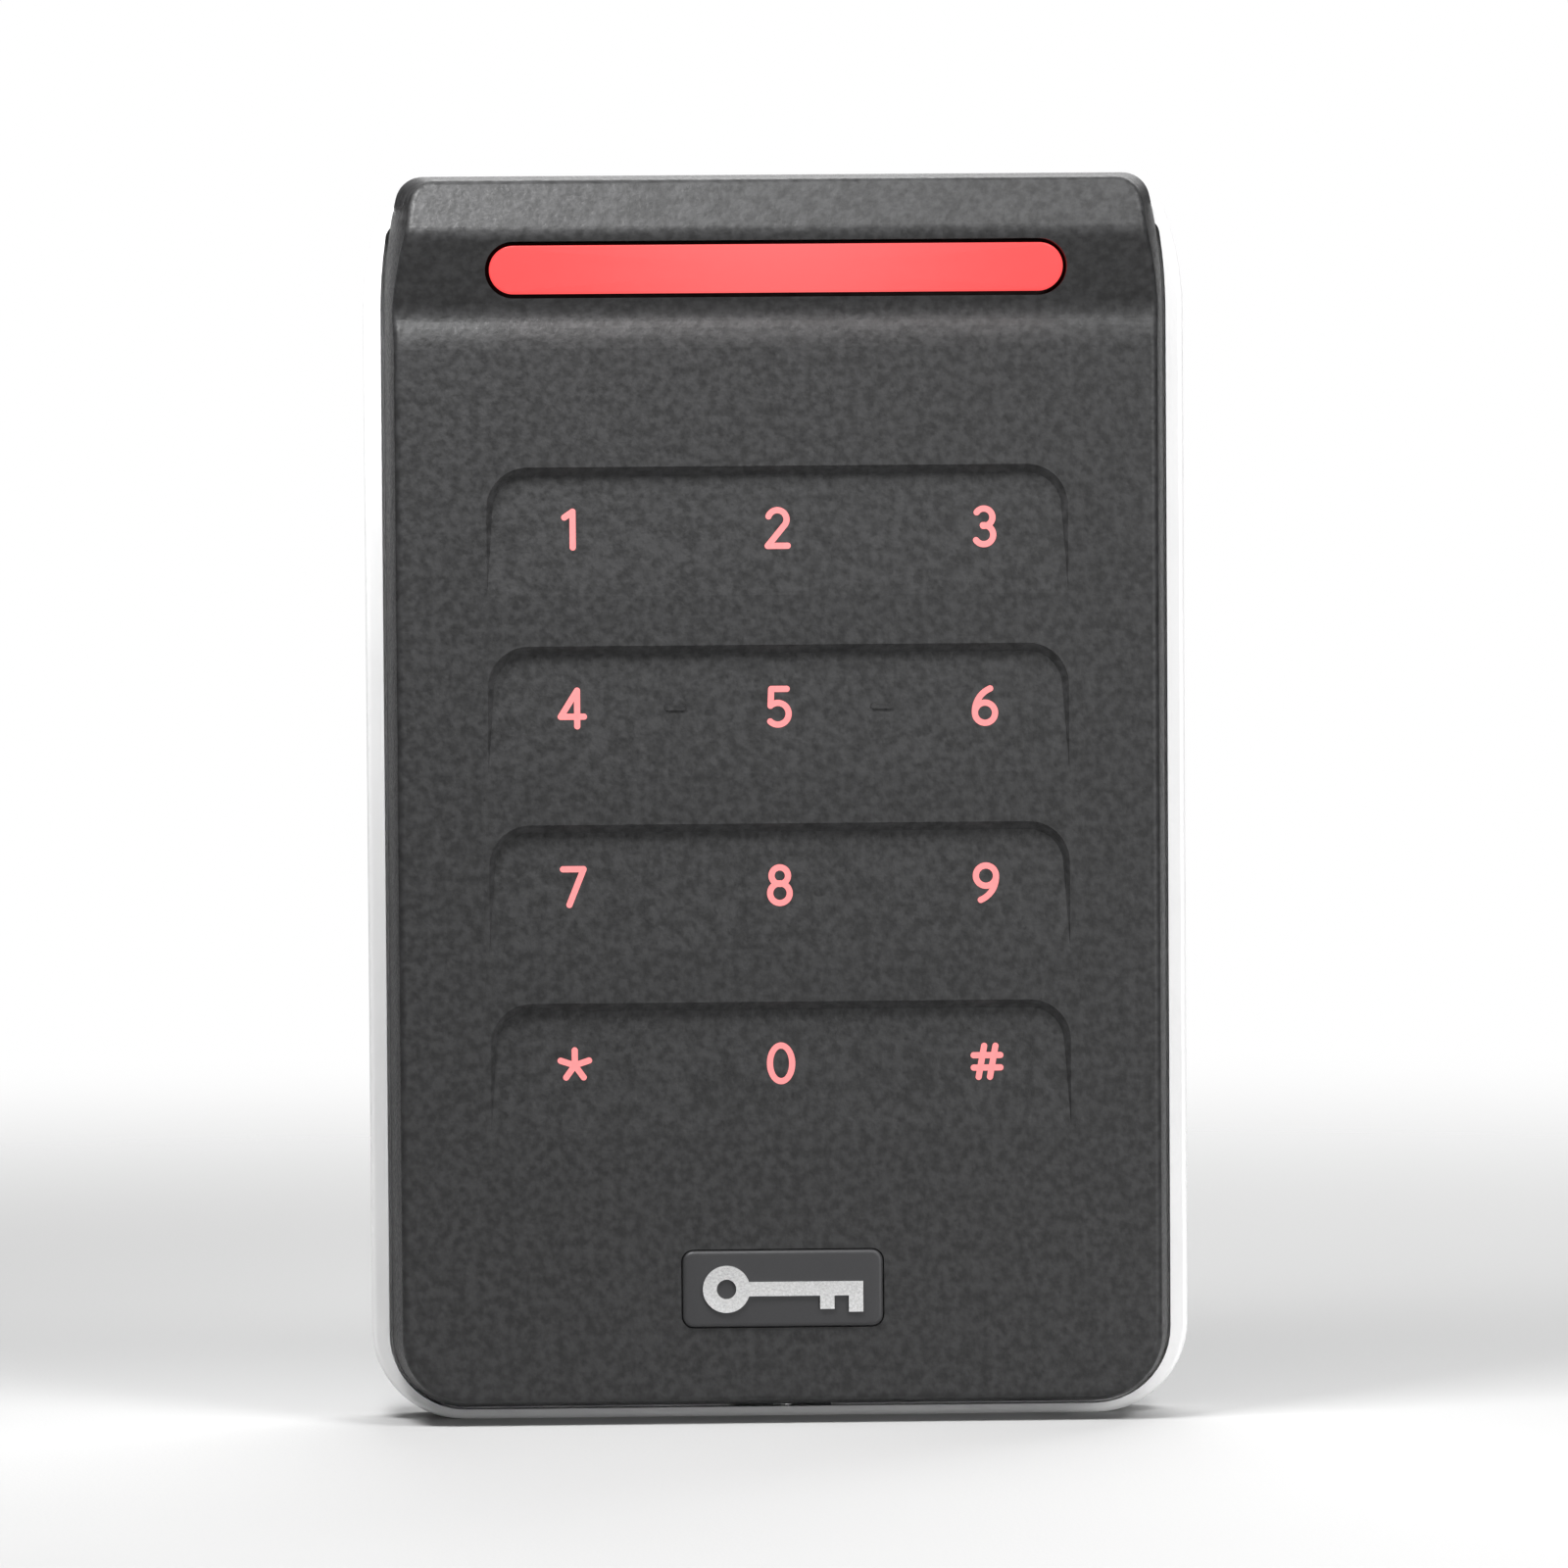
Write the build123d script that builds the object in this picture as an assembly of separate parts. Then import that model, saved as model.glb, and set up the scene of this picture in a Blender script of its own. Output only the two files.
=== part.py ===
"""Wall-mounted RFID card reader with a touch keypad, as an assembly of separate pieces.

Frame: the origin is the centre of the switch-box hole pattern, on the wall plane.
+X runs to the right as seen from the front, +Z runs up the wall, and the front faces -Y.
All sizes are in millimetres. "Depth" is the distance out from the wall, so depth = -Y.
"""
from build123d import *
import os
from math import asin, atan2, cos, degrees, radians, sin, tan

# ------------------------------------------------------------------ overall size
body_width = 80.0            # across the metal trim
body_height = 121.5          # from the trim's lower edge to the top of the hood
body_depth = 19.5            # from the wall to the crest of the hood

# ------------------------------------------------------------------ front outline
trim_wall = 1.7              # side walls of the metal trim
trim_floor = 0.95            # lower wall of the metal trim
trim_bar = 1.6               # upper bar of the metal trim, under the hood
trim_drop = 2.95             # top of the trim, below the top of the hood
trim_corner = 9.0            # lower corners of the trim
trim_shoulder = 28.0         # large arc that draws the trim in near the top
trim_back = 1.2              # depth where the trim starts, clear of the wall
trim_front = 9.0             # depth where the trim ends
trim_round = 0.5             # rounding of the trim's outer front edge
trim_back_round = 0.4
trim_rib = 1.3               # inward rib that the two plastic shells clamp
trim_top_corner = 0.8
trim_bar_corner = 1.5        # inside corners, under the upper bar
cover_corner = 7.2           # lower corners of the cover
cover_shoulder = 50.0        # large arc that draws the cover in near the top
cover_top_corner = 2.7
skirt_top_corner = 1.2       # upper corners of the skirt and of the rear shell
cavity_corner = 1.0          # upper corners of the cavity
shoulder_drop = 13.35        # both shoulder arcs start this far below the top
cover_gap = 0.3              # cover to trim, all round
lip_gap = 0.2                # hood to the trim's upper bar
shell_gap = 0.2              # rear shell to trim
slack = 0.1                  # plain assembly clearance
over = 1.0                   # how far a cutter runs past the surface that it opens
root = 0.5                   # how far a raised feature reaches into the wall it grows from

# ------------------------------------------------------------------ depths, from the wall out
plate_thickness = 2.0
reader_gap = 0.6             # mounting plate to the back of the reader
shell_floor = 1.6
shell_height = 3.8           # back of the rear shell to its rim
seal_thickness = 1.2
seal_width = 0.9
cover_skirt = 1.6            # straight skirt of the cover, before its drafted sides
cover_cavity = 6.4           # cover's rim to the inside of its face
cover_face_wall = 2.2
cover_side_wall = 2.2
cover_top_wall = 1.6
draft = 8.7                  # draft of the cover's sides, degrees
top_draft = 3.0              # draft of the hood's top, degrees
lip_back = 3.0               # depth where the hood's lip ends, over the trim
face_round = 0.7             # rounding of the cover's front edges

# ------------------------------------------------------------------ hood
crest_drop = 5.5             # crest of the hood, below its top
crest_radius = 1.5
hood_slope = 31.0            # lower slope, which carries the light bar, degrees
hood_top_slope = 22.7        # upper slope, degrees
dip_drop = 13.2              # bottom of the dip under the light bar, below the top
dip_radius = 2.0
lead_drop = 15.7             # where the flat face starts to dip, below the top
lead_radius = 5.0

# ------------------------------------------------------------------ light bar
bar_length = 55.5
bar_height = 4.7
bar_drop = 9.1               # its centre line, below the top of the hood
bar_gap = 0.4
bar_proud = 0.05
flange_thickness = 0.8
flange_margin = 1.0
guide_clearance = 0.1

# ------------------------------------------------------------------ keypad
key_pitch_x = 20.05
key_pitch_z = 17.35
first_key_drop = 34.25       # legends of the top row, below the top of the hood
shelf_width = 56.4
shelf_rise = 6.05            # shelf's upper edge, above the middle of its legends
shelf_depth = 1.0
shelf_run = 12.5             # height over which the shelf's floor comes back out
shelf_corner = 4.0
shelf_wall_angle = 42.0      # slope of the shelf's upper and side walls, degrees
keypad_above = 15.5          # keypad board, above the legends of the top row
keypad_below = 10.6          # keypad board, below the legends of the bottom row
legend_height = 4.05
legend_stroke = 0.6
legend_depth = 1.3           # legend inlays, below the flat face
ridge_length = 2.1           # raised marks beside the middle key
ridge_height = 0.5
ridge_proud = 0.2

# ------------------------------------------------------------------ badge
badge_length = 19.5
badge_height = 7.45
badge_rise = 13.3            # its centre, above the bottom of the trim
badge_pocket = 0.5
badge_proud = 0.35
badge_bevel = 0.45
badge_corner = 1.1
badge_gap = 0.12
emblem_thickness = 0.25
emblem_bow = 2.3             # outer radius of the key's bow
emblem_eye = 0.95            # radius of the hole in the bow
emblem_bow_x = -5.5
emblem_tip_x = 7.8
emblem_line = 1.4            # width of the shaft and the teeth
emblem_teeth = ((4.3, 2.0), (7.1, 2.3))  # middle of each tooth, and its drop from the axis

# ------------------------------------------------------------------ mounting plate
plate_margin = 3.5           # plate's sides, inside the trim's sides
plate_low_margin = 3.75
plate_over_hinge = 0.8       # plate's top edge, above the hinge line
plate_corner = 6.0
gang_spacing = 83.3          # switch-box screw holes
gang_hole = 4.2
slot_spacing = 60.0          # round-box screw slots
slot_length = 7.0
cable_lip = 0.5              # plate's cable opening, inside the wiring recess
cable_low = 8.0              # cable opening, below the middle
cable_high = 36.0            # cable opening, above the middle
cable_corner = 4.0
pad_radius = 3.0
pad_x = 33.0
pad_z = 30.0
pad_clearance = 0.05
screw_head = 8.6             # room for a wall screw's head
screw_head_height = 3.2      # room for it in depth, over the plate
pocket_wall = 1.0
lug_round = 1.5

# ------------------------------------------------------------------ hinge hooks
hinge_depth = 4.6
hinge_drop = 9.55            # hinge line, below the top of the hood
hook_spacing = 44.0
hook_width = 12.0
hook_side_gap = 0.5
bead_radius = 1.0
bead_clearance = 0.2
saddle_wall = 1.2
saddle_angle = 35.0          # how far round the bead the seat's lip reaches, degrees
neck_thickness = 1.4
arm_thickness = 1.5
arm_drop = 3.2               # hook's arm, below the hinge line
pocket_below = 1.7           # room under the hook's arm
pocket_depth = 6.0
bump_wall = 1.4
bump_floor = 1.2
swing_relief = 1.5           # how far the trim's back is cut away at its top
swing_relief_run = 8.0

# ------------------------------------------------------------------ lock screw
lock_depth = 5.4             # axis of the lock screw
lock_screw = 3.0
lock_screw_head = 4.4
lock_head_height = 1.6
lock_screw_length = 6.35
lock_recess = 0.35           # head, inside the trim's lower face, when backed off
lock_travel = 3.0
lock_head_round = 0.4
spanner_hole_x = 1.2
spanner_hole = 0.8           # diameter and depth of the head's two holes
lock_head_clearance = 0.3
lock_notch = 0.2             # further room round the head in the cover's skirt
lock_thread_clearance = 0.03
insert_wall = 0.75
insert_length = 3.0
seat_gap = 0.05              # head to its seat when driven home
lug_gap = 1.0                # insert to the plate's lug
lug_height = 4.0
lug_width = 12.0
lug_depth = 8.6
lug_front_room = 0.6
lug_hole_clearance = 0.15
lug_room = 0.75              # round the lug, in the shell
drain_width = 10.0           # gap in the seal and the rib under the lock screw

# ------------------------------------------------------------------ fasteners inside
tower_radius = 3.0
boss_radius = 2.6
tower_inset = 2.9            # tower's axis, inside the cavity's wall
tower_low = 10.75            # lower towers, above the bottom of the trim
tower_high = 16.75           # upper towers, below the top of the hood
housing_screw = 2.0
housing_screw_head = 4.2
housing_head_height = 1.5
housing_head_recess = 0.5
housing_screw_length = 8.0
board_post_radius = 2.4
board_post_x = 26.5
board_post_rise = 5.0         # lower posts, above the main board's lower edge
board_post_drop = 1.4         # upper posts, below the keypad board's upper edge
board_screw = 1.6
board_screw_head = 3.4
board_screw_head_height = 0.9
board_screw_length = 4.5
thread_clearance = 0.02

# ------------------------------------------------------------------ boards and what they carry
film_gap = 0.05
diffuser_thickness = 0.3
pad_thickness = 0.05
keypad_board_thickness = 1.0
main_board_thickness = 1.6
board_gap = 1.1              # between the two boards
board_side_margin = 6.0
board_low_margin = 15.75
board_top_gap = 0.25
led_height = 0.6
led_length = 3.2
led_width = 1.5
status_led_height = 0.8
status_led_width = 2.0
status_led_count = 6
status_led_margin = 3.75     # end LEDs, inside the ends of the light bar
guide_end = 1.2              # guide's ends, inside the ends of the light bar
guide_low = 0.2              # guide's lower edge, above the lower edge of the light bar
light_hole = 2.2             # holes in the keypad board, behind the legends
touch_pad_hole = 5.6
touch_pad_corner = 1.5
board_corner = 2.0
ferrite_thickness = 0.3
touch_pad_width = 14.0
touch_pad_height = 10.0
coil_section = 1.5
coil_corner = 4.0
coil_inset = 1.0             # coil, inside the ferrite's edge
coil_thickness = 0.5
track_width = 0.6
track_pitch = 1.1
track_turns = 4

# ------------------------------------------------------------------ terminals
recess_side_room = 2.75      # beside the headers
recess_low = 4.0             # wiring recess, below the middle
recess_high = 36.0
header_width = 18.5
header_gap = 2.5             # between the two headers
header_low = 3.0
header_high = 5.0
header_back = 3.2
header_wall = 0.8
header_mouth_low = 0.5
header_mouth_front = 7.8
pin_size = 1.0
pin_pitch = 3.5
pin_count = 5
pin_depth = 5.9
pin_low = -1.7
pin_high = 4.4
plug_gap = 0.1
plug_length = 10.9
plug_back = 3.0
plug_front = 8.3
plug_side = 0.05
tongue_clearance = 0.2
tongue_length = 4.2
socket_clearance = 0.15
clamp_screw = 2.3
clamp_screw_height = 2.2
clamp_screw_sink = 0.3
wire_hole = 2.0
wire_hole_depth = 6.0
plug_chamfer = 0.8
clamp_slot = 0.4
clamp_slot_depth = 0.5

# ------------------------------------------------------------------ small parts
tamper_pipe_radius = 1.5
tamper_collar = 0.7          # collar's width and height
tamper_inset = 4.3           # tamper sensor, inside the main board's edge
tamper_rise = 13.0           # tamper sensor, above the lower board screws
label_thickness = 0.1
board_edge = 1.4             # antenna track, inside the keypad board's edge
ferrite_side_margin = 3.8
ferrite_end_margin = 6.0
connector_width = 10.0
connector_height = 3.0
connector_wall = 0.25
connector_slot = 0.7
connector_room = 1.0         # hole in the ferrite, larger than the connector
clamp_rise = 3.4             # clamp screws, above the plug's shoulder
label_width = 30.0
label_height = 14.0
label_drop = 12.0            # label's middle, below the wiring recess

# ------------------------------------------------------------------ packages on the main board's back
# middle x, middle z below the headers, width, height, thickness
controller = (-15.0, -14.5, 10.0, 10.0, 1.2)
secure_element = (-26.0, -14.5, 5.0, 5.0, 0.9)
radio_board = (14.5, -12.5, 14.0, 10.0, 0.8)
crystal_can = (-15.0, -23.0, 3.2, 2.5, 0.8)
inductor = (-25.5, -26.0, 6.0, 6.0, 3.0)
capacitor_x = (-19.0, -12.0)
capacitor = (-31.5, 6.6, 6.3, 0.9, 5.2)  # z, base width, can diameter, base and whole height
sounder_case = (14.5, -26.5, 12.0, 5.0)  # x, z, diameter, height
sensor_width = 3.2
sensor_height = 1.2
shield_width = 11.0
shield_height = 8.0
shield_depth = 1.5
sheet_metal = 0.2

# ------------------------------------------------------------------ worked out from the above
half_w = body_width / 2
half_h = body_height / 2
cover_half_w = half_w - trim_wall - cover_gap
cover_low = -half_h + trim_floor + cover_gap
trim_top = half_h - trim_drop
under_bar = trim_top - trim_bar - cover_gap
shoulder_z = half_h - shoulder_drop
reader_back = plate_thickness + reader_gap
shell_inside = reader_back + shell_floor
shell_rim = reader_back + shell_height
cover_rim = shell_rim + seal_thickness
skirt_end = cover_rim + cover_skirt
cover_inside = cover_rim + cover_cavity
face_depth = cover_inside + cover_face_wall
cavity_half_w = cover_half_w - cover_side_wall
cavity_low = cover_low + cover_side_wall
cavity_top = under_bar - cover_top_wall
hinge_z = half_h - hinge_drop
bar_z = half_h - bar_drop
badge_z = -half_h + badge_rise
hook_x = hook_spacing / 2
gang_z = gang_spacing / 2
slot_x = slot_spacing / 2
tower_x = cavity_half_w - tower_inset
tower_z = (-half_h + tower_low, half_h - tower_high)
head_rest_z = -half_h + lock_recess
seat_z = head_rest_z + lock_head_height + lock_travel + seat_gap
insert_top = seat_z + insert_length
lug_low = insert_top + lug_gap
diffuser_front = cover_inside - film_gap
keypad_front = diffuser_front - diffuser_thickness - film_gap
keypad_back = keypad_front - keypad_board_thickness
main_front = keypad_back - board_gap
main_back = main_front - main_board_thickness
bump_top = main_back - slack
board_half_w = cavity_half_w - board_side_margin
main_low = -half_h + board_low_margin
main_top = cavity_top - board_top_gap
key_x = (-key_pitch_x, 0.0, key_pitch_x)
key_z = tuple(half_h - first_key_drop - row * key_pitch_z for row in range(4))
keypad_low = key_z[-1] - keypad_below
keypad_high = key_z[0] + keypad_above
keypad_mid = (keypad_low + keypad_high) / 2
keypad_half_h = (keypad_high - keypad_low) / 2
plug_low = header_high + plug_gap
clamp_z = plug_low + clamp_rise
connector_z = (key_z[-2] + key_z[-1]) / 2
ferrite_half_w = board_half_w - ferrite_side_margin
ferrite_half_h = keypad_half_h - ferrite_end_margin
board_post_low = main_low + board_post_rise
board_post_high = keypad_high - board_post_drop
tamper_x = board_half_w - tamper_inset
tamper_z = board_post_low + tamper_rise
header_x = (header_width + header_gap) / 2
recess_half_width = header_x + header_width / 2 + recess_side_room
cable_width = 2 * (recess_half_width - cable_lip)
insert_diameter = lock_screw + 2 * insert_wall
lug_hole = lock_screw + 2 * lug_hole_clearance
far = 2 * (body_width + body_height)


# ------------------------------------------------------------------ helpers
def slab(outline, back, front):
    """Solid with a front-view outline (x, z), between two depths."""
    return extrude(Plane.XZ.offset(back) * outline, amount=front - back)


def block(x0, x1, z0, z1, back, front):
    """Box between two x, two z and two depths."""
    outline = Pos((x0 + x1) / 2, (z0 + z1) / 2) * Rectangle(x1 - x0, z1 - z0)
    return slab(outline, back, front)


def rod(x, z, radius, back, front):
    """Round bar that points out from the wall."""
    return slab(Pos(x, z) * Circle(radius), back, front)


def upright(x, depth, radius, low, high):
    """Round bar that points up."""
    return extrude(Plane.XY.offset(low) * Pos(x, -depth) * Circle(radius), amount=high - low)


def across(profile, x0, x1):
    """Solid with a side-view profile (depth, z), between two x."""
    side = Plane(origin=(x1, 0, 0), x_dir=(0, -1, 0), z_dir=(-1, 0, 0))
    return extrude(side * profile, amount=x1 - x0)


def rounded(width, height, radius):
    """Rounded rectangle."""
    return RectangleRounded(width, height, radius)


def shield(half_width, low, high, low_corner, high_corner, shoulder):
    """Front outline: straight sides, rounded lower corners, and arcs that draw in the top."""
    turn = asin((high - shoulder_z) / shoulder)
    inset = shoulder * (1 - cos(turn))
    half_inset = shoulder * (1 - cos(turn / 2))
    half_rise = shoulder * sin(turn / 2)
    top_w = half_width - inset
    edges = [
        Line((-half_width, low), (half_width, low)),
        Line((half_width, low), (half_width, shoulder_z)),
        ThreePointArc(
            (half_width, shoulder_z),
            (half_width - half_inset, shoulder_z + half_rise),
            (top_w, high),
        ),
        Line((top_w, high), (-top_w, high)),
        ThreePointArc(
            (-top_w, high),
            (-half_width + half_inset, shoulder_z + half_rise),
            (-half_width, shoulder_z),
        ),
        Line((-half_width, shoulder_z), (-half_width, low)),
    ]
    outline = make_face(edges)
    outline = fillet(outline.vertices().group_by(Axis.Y)[0], low_corner)
    return fillet(outline.vertices().group_by(Axis.Y)[-1], high_corner)


def around_cover(grow, high, high_corner):
    """The cover's own outline, grown or shrunk, and cut off level at the given height."""
    return shield(
        cover_half_w + grow,
        cover_low - grow,
        high,
        cover_corner + grow,
        high_corner,
        cover_shoulder + grow,
    )


# ------------------------------------------------------------------ wall side
def mounting_plate():
    """Steel wall plate with two bent hooks at the top and a drilled lug at the bottom."""
    plate_top = hinge_z + plate_over_hinge
    plate_low = -half_h + plate_low_margin
    plate_half_w = half_w - plate_margin
    outline = Pos(0, (plate_top + plate_low) / 2) * rounded(
        2 * plate_half_w, plate_top - plate_low, plate_corner
    )
    outline -= Pos(0, (cable_high - cable_low) / 2) * rounded(
        cable_width, cable_high + cable_low, cable_corner
    )
    for side in (-1, 1):
        outline -= Pos(0, side * gang_z) * Circle(gang_hole / 2)
        outline -= Pos(side * slot_x, 0) * SlotOverall(slot_length, gang_hole)
    plate = slab(outline, 0, plate_thickness)
    for x in (-pad_x, pad_x):
        for z in (-pad_z, pad_z):
            plate += rod(x, z, pad_radius, plate_thickness, reader_back - pad_clearance)
    for x in (-hook_x, hook_x):
        plate += hook(x)
    back = plate_thickness / 2
    lug = block(-lug_width / 2, lug_width / 2, lug_low, lug_low + lug_height, back, lug_depth)
    lug = fillet(lug.edges().filter_by(Axis.Z).group_by(Axis.Y)[0], lug_round)
    plate += lug
    return plate - upright(0, lock_depth, lug_hole / 2, lug_low - over, lug_low + lug_height + over)


def hook(x):
    """One hook: an arm off the plate, a neck turned up, and a round bead on its edge."""
    neck_back = hinge_depth - neck_thickness / 2
    neck_front = hinge_depth + neck_thickness / 2
    arm_high = hinge_z - arm_drop
    arm_low = arm_high - arm_thickness
    x0 = x - hook_width / 2
    x1 = x + hook_width / 2
    arm = block(x0, x1, arm_low, arm_high, plate_thickness / 2, neck_front)
    neck = block(x0, x1, arm_low, hinge_z, neck_back, neck_front)
    bead = across(Pos(hinge_depth, hinge_z) * Circle(bead_radius), x0, x1)
    return arm + neck + bead


# ------------------------------------------------------------------ rear shell
def hook_pocket(x):
    """Room for one hook, open at the back, with the round seat that hangs on its bead."""
    half = hook_width / 2 + hook_side_gap
    low = hinge_z - arm_drop - arm_thickness - pocket_below
    front = reader_back + pocket_depth
    seat_radius = bead_radius + bead_clearance
    room = block(x - half, x + half, low, hinge_z, reader_back - over, front)
    room += across(Pos(hinge_depth, hinge_z) * Circle(seat_radius), x - half, x + half)
    lip_radius = seat_radius + saddle_wall
    lip = Pos(hinge_depth, hinge_z) * (Circle(lip_radius) - Circle(seat_radius))
    reach = 4 * lip_radius
    turn = radians(saddle_angle)
    sector = Polygon(
        (0, bead_clearance),
        (0, 0),
        (reach * cos(turn), -reach * sin(turn)),
        (reach, bead_clearance),
        align=None,
    )
    lip = lip & (Pos(hinge_depth, hinge_z) * sector)
    return room - across(lip, x - half, x + half)


def hook_bump(x):
    """Walls round one hook pocket, raised inside the shell."""
    half = hook_width / 2 + hook_side_gap + bump_wall
    low = hinge_z - arm_drop - arm_thickness - pocket_below - bump_wall
    return block(x - half, x + half, low, cavity_top - slack, reader_back, bump_top)


def wall_screw_rooms(grow, back, front):
    """Room for the heads of the wall screws, or with grow, the walls round it."""
    radius = screw_head / 2 + grow
    rooms = rod(0, gang_z, radius, back, front) + rod(0, -gang_z, radius, back, front)
    play = slot_length - gang_hole
    for side in (-1, 1):
        rooms += slab(Pos(side * slot_x, 0) * SlotCenterToCenter(play, 2 * radius), back, front)
    return rooms


def rear_shell():
    """Moulded rear shell: rim, wiring recess, hook seats, lock pocket, towers and posts."""
    outside = around_cover(cover_gap - shell_gap, under_bar, skirt_top_corner)
    inside = around_cover(-cover_side_wall, cavity_top, cavity_corner)
    tub = slab(outside, reader_back, shell_rim)
    cavity = slab(inside, shell_inside, shell_rim + over)
    shell = tub - cavity

    head_top = plate_thickness + screw_head_height
    raised = wall_screw_rooms(pocket_wall, shell_inside - root, head_top + pocket_wall)
    recess_w = recess_half_width + bump_wall
    raised += block(
        -recess_w, recess_w, -recess_low - bump_wall, recess_high + bump_wall, reader_back, bump_top
    )
    for x in (-hook_x, hook_x):
        raised += hook_bump(x)
    lock_half = lug_width / 2 + lug_room + bump_wall
    lock_top = lug_low + lug_height + lug_room + bump_wall
    raised += block(-lock_half, lock_half, cavity_low + slack, lock_top, reader_back, bump_top)
    for x in (-board_post_x, board_post_x):
        for z in (board_post_low, board_post_high):
            raised += rod(x, z, board_post_radius, shell_inside - root, bump_top)
    for x in (-tower_x, tower_x):
        for z in tower_z:
            raised += rod(x, z, tower_radius, reader_back, shell_rim)
    shell += raised & (slab(inside, reader_back, bump_top + over) + tub)

    shell -= wall_screw_rooms(0, reader_back - over, head_top)
    recess_floor = bump_top - bump_floor
    shell -= block(
        -recess_half_width, recess_half_width, -recess_low, recess_high, reader_back - over, recess_floor
    )
    for x in (-header_x, header_x):
        half = header_width / 2 + slack
        shell -= block(
            x - half,
            x + half,
            -header_low - slack,
            header_high + slack,
            recess_floor - over,
            bump_top + over,
        )
    for x in (-hook_x, hook_x):
        shell -= hook_pocket(x)
    room_half = lug_width / 2 + lug_room
    room_top = lug_low + lug_height + lug_room
    room_front = lug_depth + lug_front_room
    shell -= block(-room_half, room_half, insert_top, room_top, reader_back - over, room_front)
    head_room = lock_screw_head / 2 + lock_head_clearance
    shell -= upright(0, lock_depth, head_room, -half_h, seat_z)
    shell -= upright(0, lock_depth, insert_diameter / 2, seat_z, insert_top)
    for x in (-board_post_x, board_post_x):
        for z in (board_post_low, board_post_high):
            hole = board_screw / 2 + thread_clearance
            shell -= rod(x, z, hole, bump_top - board_screw_length, bump_top + over)
    for x in (-tower_x, tower_x):
        for z in tower_z:
            head_front = reader_back + housing_head_recess + housing_head_height
            shell -= rod(x, z, housing_screw_head / 2 + slack, reader_back - over, head_front)
            shell -= rod(x, z, housing_screw / 2 + slack, head_front - over, shell_rim + over)
    window = rod(tamper_x, tamper_z, tamper_pipe_radius + thread_clearance, 0, shell_inside + over)
    return shell - window


def lock_insert():
    """Brass thread insert that the lock screw runs in."""
    insert = upright(0, lock_depth, insert_diameter / 2, seat_z, insert_top)
    thread = lock_screw / 2 + lock_thread_clearance
    return insert - upright(0, lock_depth, thread, seat_z - over, insert_top + over)


def security_screw():
    """Lock screw with a two-hole head, backed off as it is before the reader is locked."""
    head_top = head_rest_z + lock_head_height
    screw = upright(0, lock_depth, lock_screw_head / 2, head_rest_z, head_top)
    screw = fillet(screw.edges().group_by(Axis.Z)[0], lock_head_round)
    shank = upright(0, lock_depth, lock_screw / 2, head_top - slack, head_top + lock_screw_length)
    screw += chamfer(shank.edges().group_by(Axis.Z)[-1], lock_head_round)
    hole_top = head_rest_z + spanner_hole
    for x in (-spanner_hole_x, spanner_hole_x):
        screw -= upright(x, lock_depth, spanner_hole / 2, head_rest_z - over, hole_top)
    return screw


# ------------------------------------------------------------------ metal trim
def trim_frame():
    """Satin metal ring round the reader, with a rib that the two shells clamp."""
    outer = shield(half_w, -half_h, trim_top, trim_corner, trim_top_corner, trim_shoulder)
    ring = slab(outer, trim_back, trim_front)
    ring = fillet(ring.faces().sort_by(Axis.Y)[0].edges(), trim_round)
    ring = fillet(ring.faces().sort_by(Axis.Y)[-1].edges(), trim_back_round)
    inner = around_cover(cover_gap, under_bar + cover_gap, trim_bar_corner)
    ring -= slab(inner, 0, trim_front + over)
    rib_back = shell_rim + slack
    rib = slab(inner, rib_back, cover_rim - slack)
    rib -= slab(rib_window(), 0, far)
    rib -= block(-drain_width / 2, drain_width / 2, -half_h, 0, 0, far)
    ring += rib
    relief = Polygon(
        (-over, trim_top - swing_relief_run),
        (trim_back, trim_top - swing_relief_run),
        (trim_back + swing_relief, trim_top),
        (trim_back + swing_relief, trim_top + over),
        (-over, trim_top + over),
        align=None,
    )
    ring -= across(relief, -half_w - over, half_w + over)
    head_room = lock_screw_head / 2 + lock_head_clearance
    return ring - upright(0, lock_depth, head_room, -half_h - over, cover_low)


def rib_window():
    """Opening inside the trim's rib: it runs out through the top, so the rib is on three sides."""
    grow = cover_gap - trim_rib
    half = cover_half_w + grow
    low = cover_low - grow
    window = Pos(0, (low + half_h) / 2) * Rectangle(2 * half, half_h - low)
    return fillet(window.vertices().group_by(Axis.Y)[0], cover_corner + grow)


# ------------------------------------------------------------------ seal
def perimeter_seal():
    """Soft gasket between the rims, with a drain gap over the lock screw."""
    inset = cover_side_wall - slack
    low_edge = cavity_top + slack
    outer = around_cover(seal_width - inset, low_edge + seal_width, cavity_corner + seal_width)
    inner = around_cover(-inset, low_edge, cavity_corner)
    seal = slab(outer - inner, shell_rim, cover_rim)
    return seal - block(-drain_width / 2, drain_width / 2, -half_h, 0, 0, far)


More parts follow.
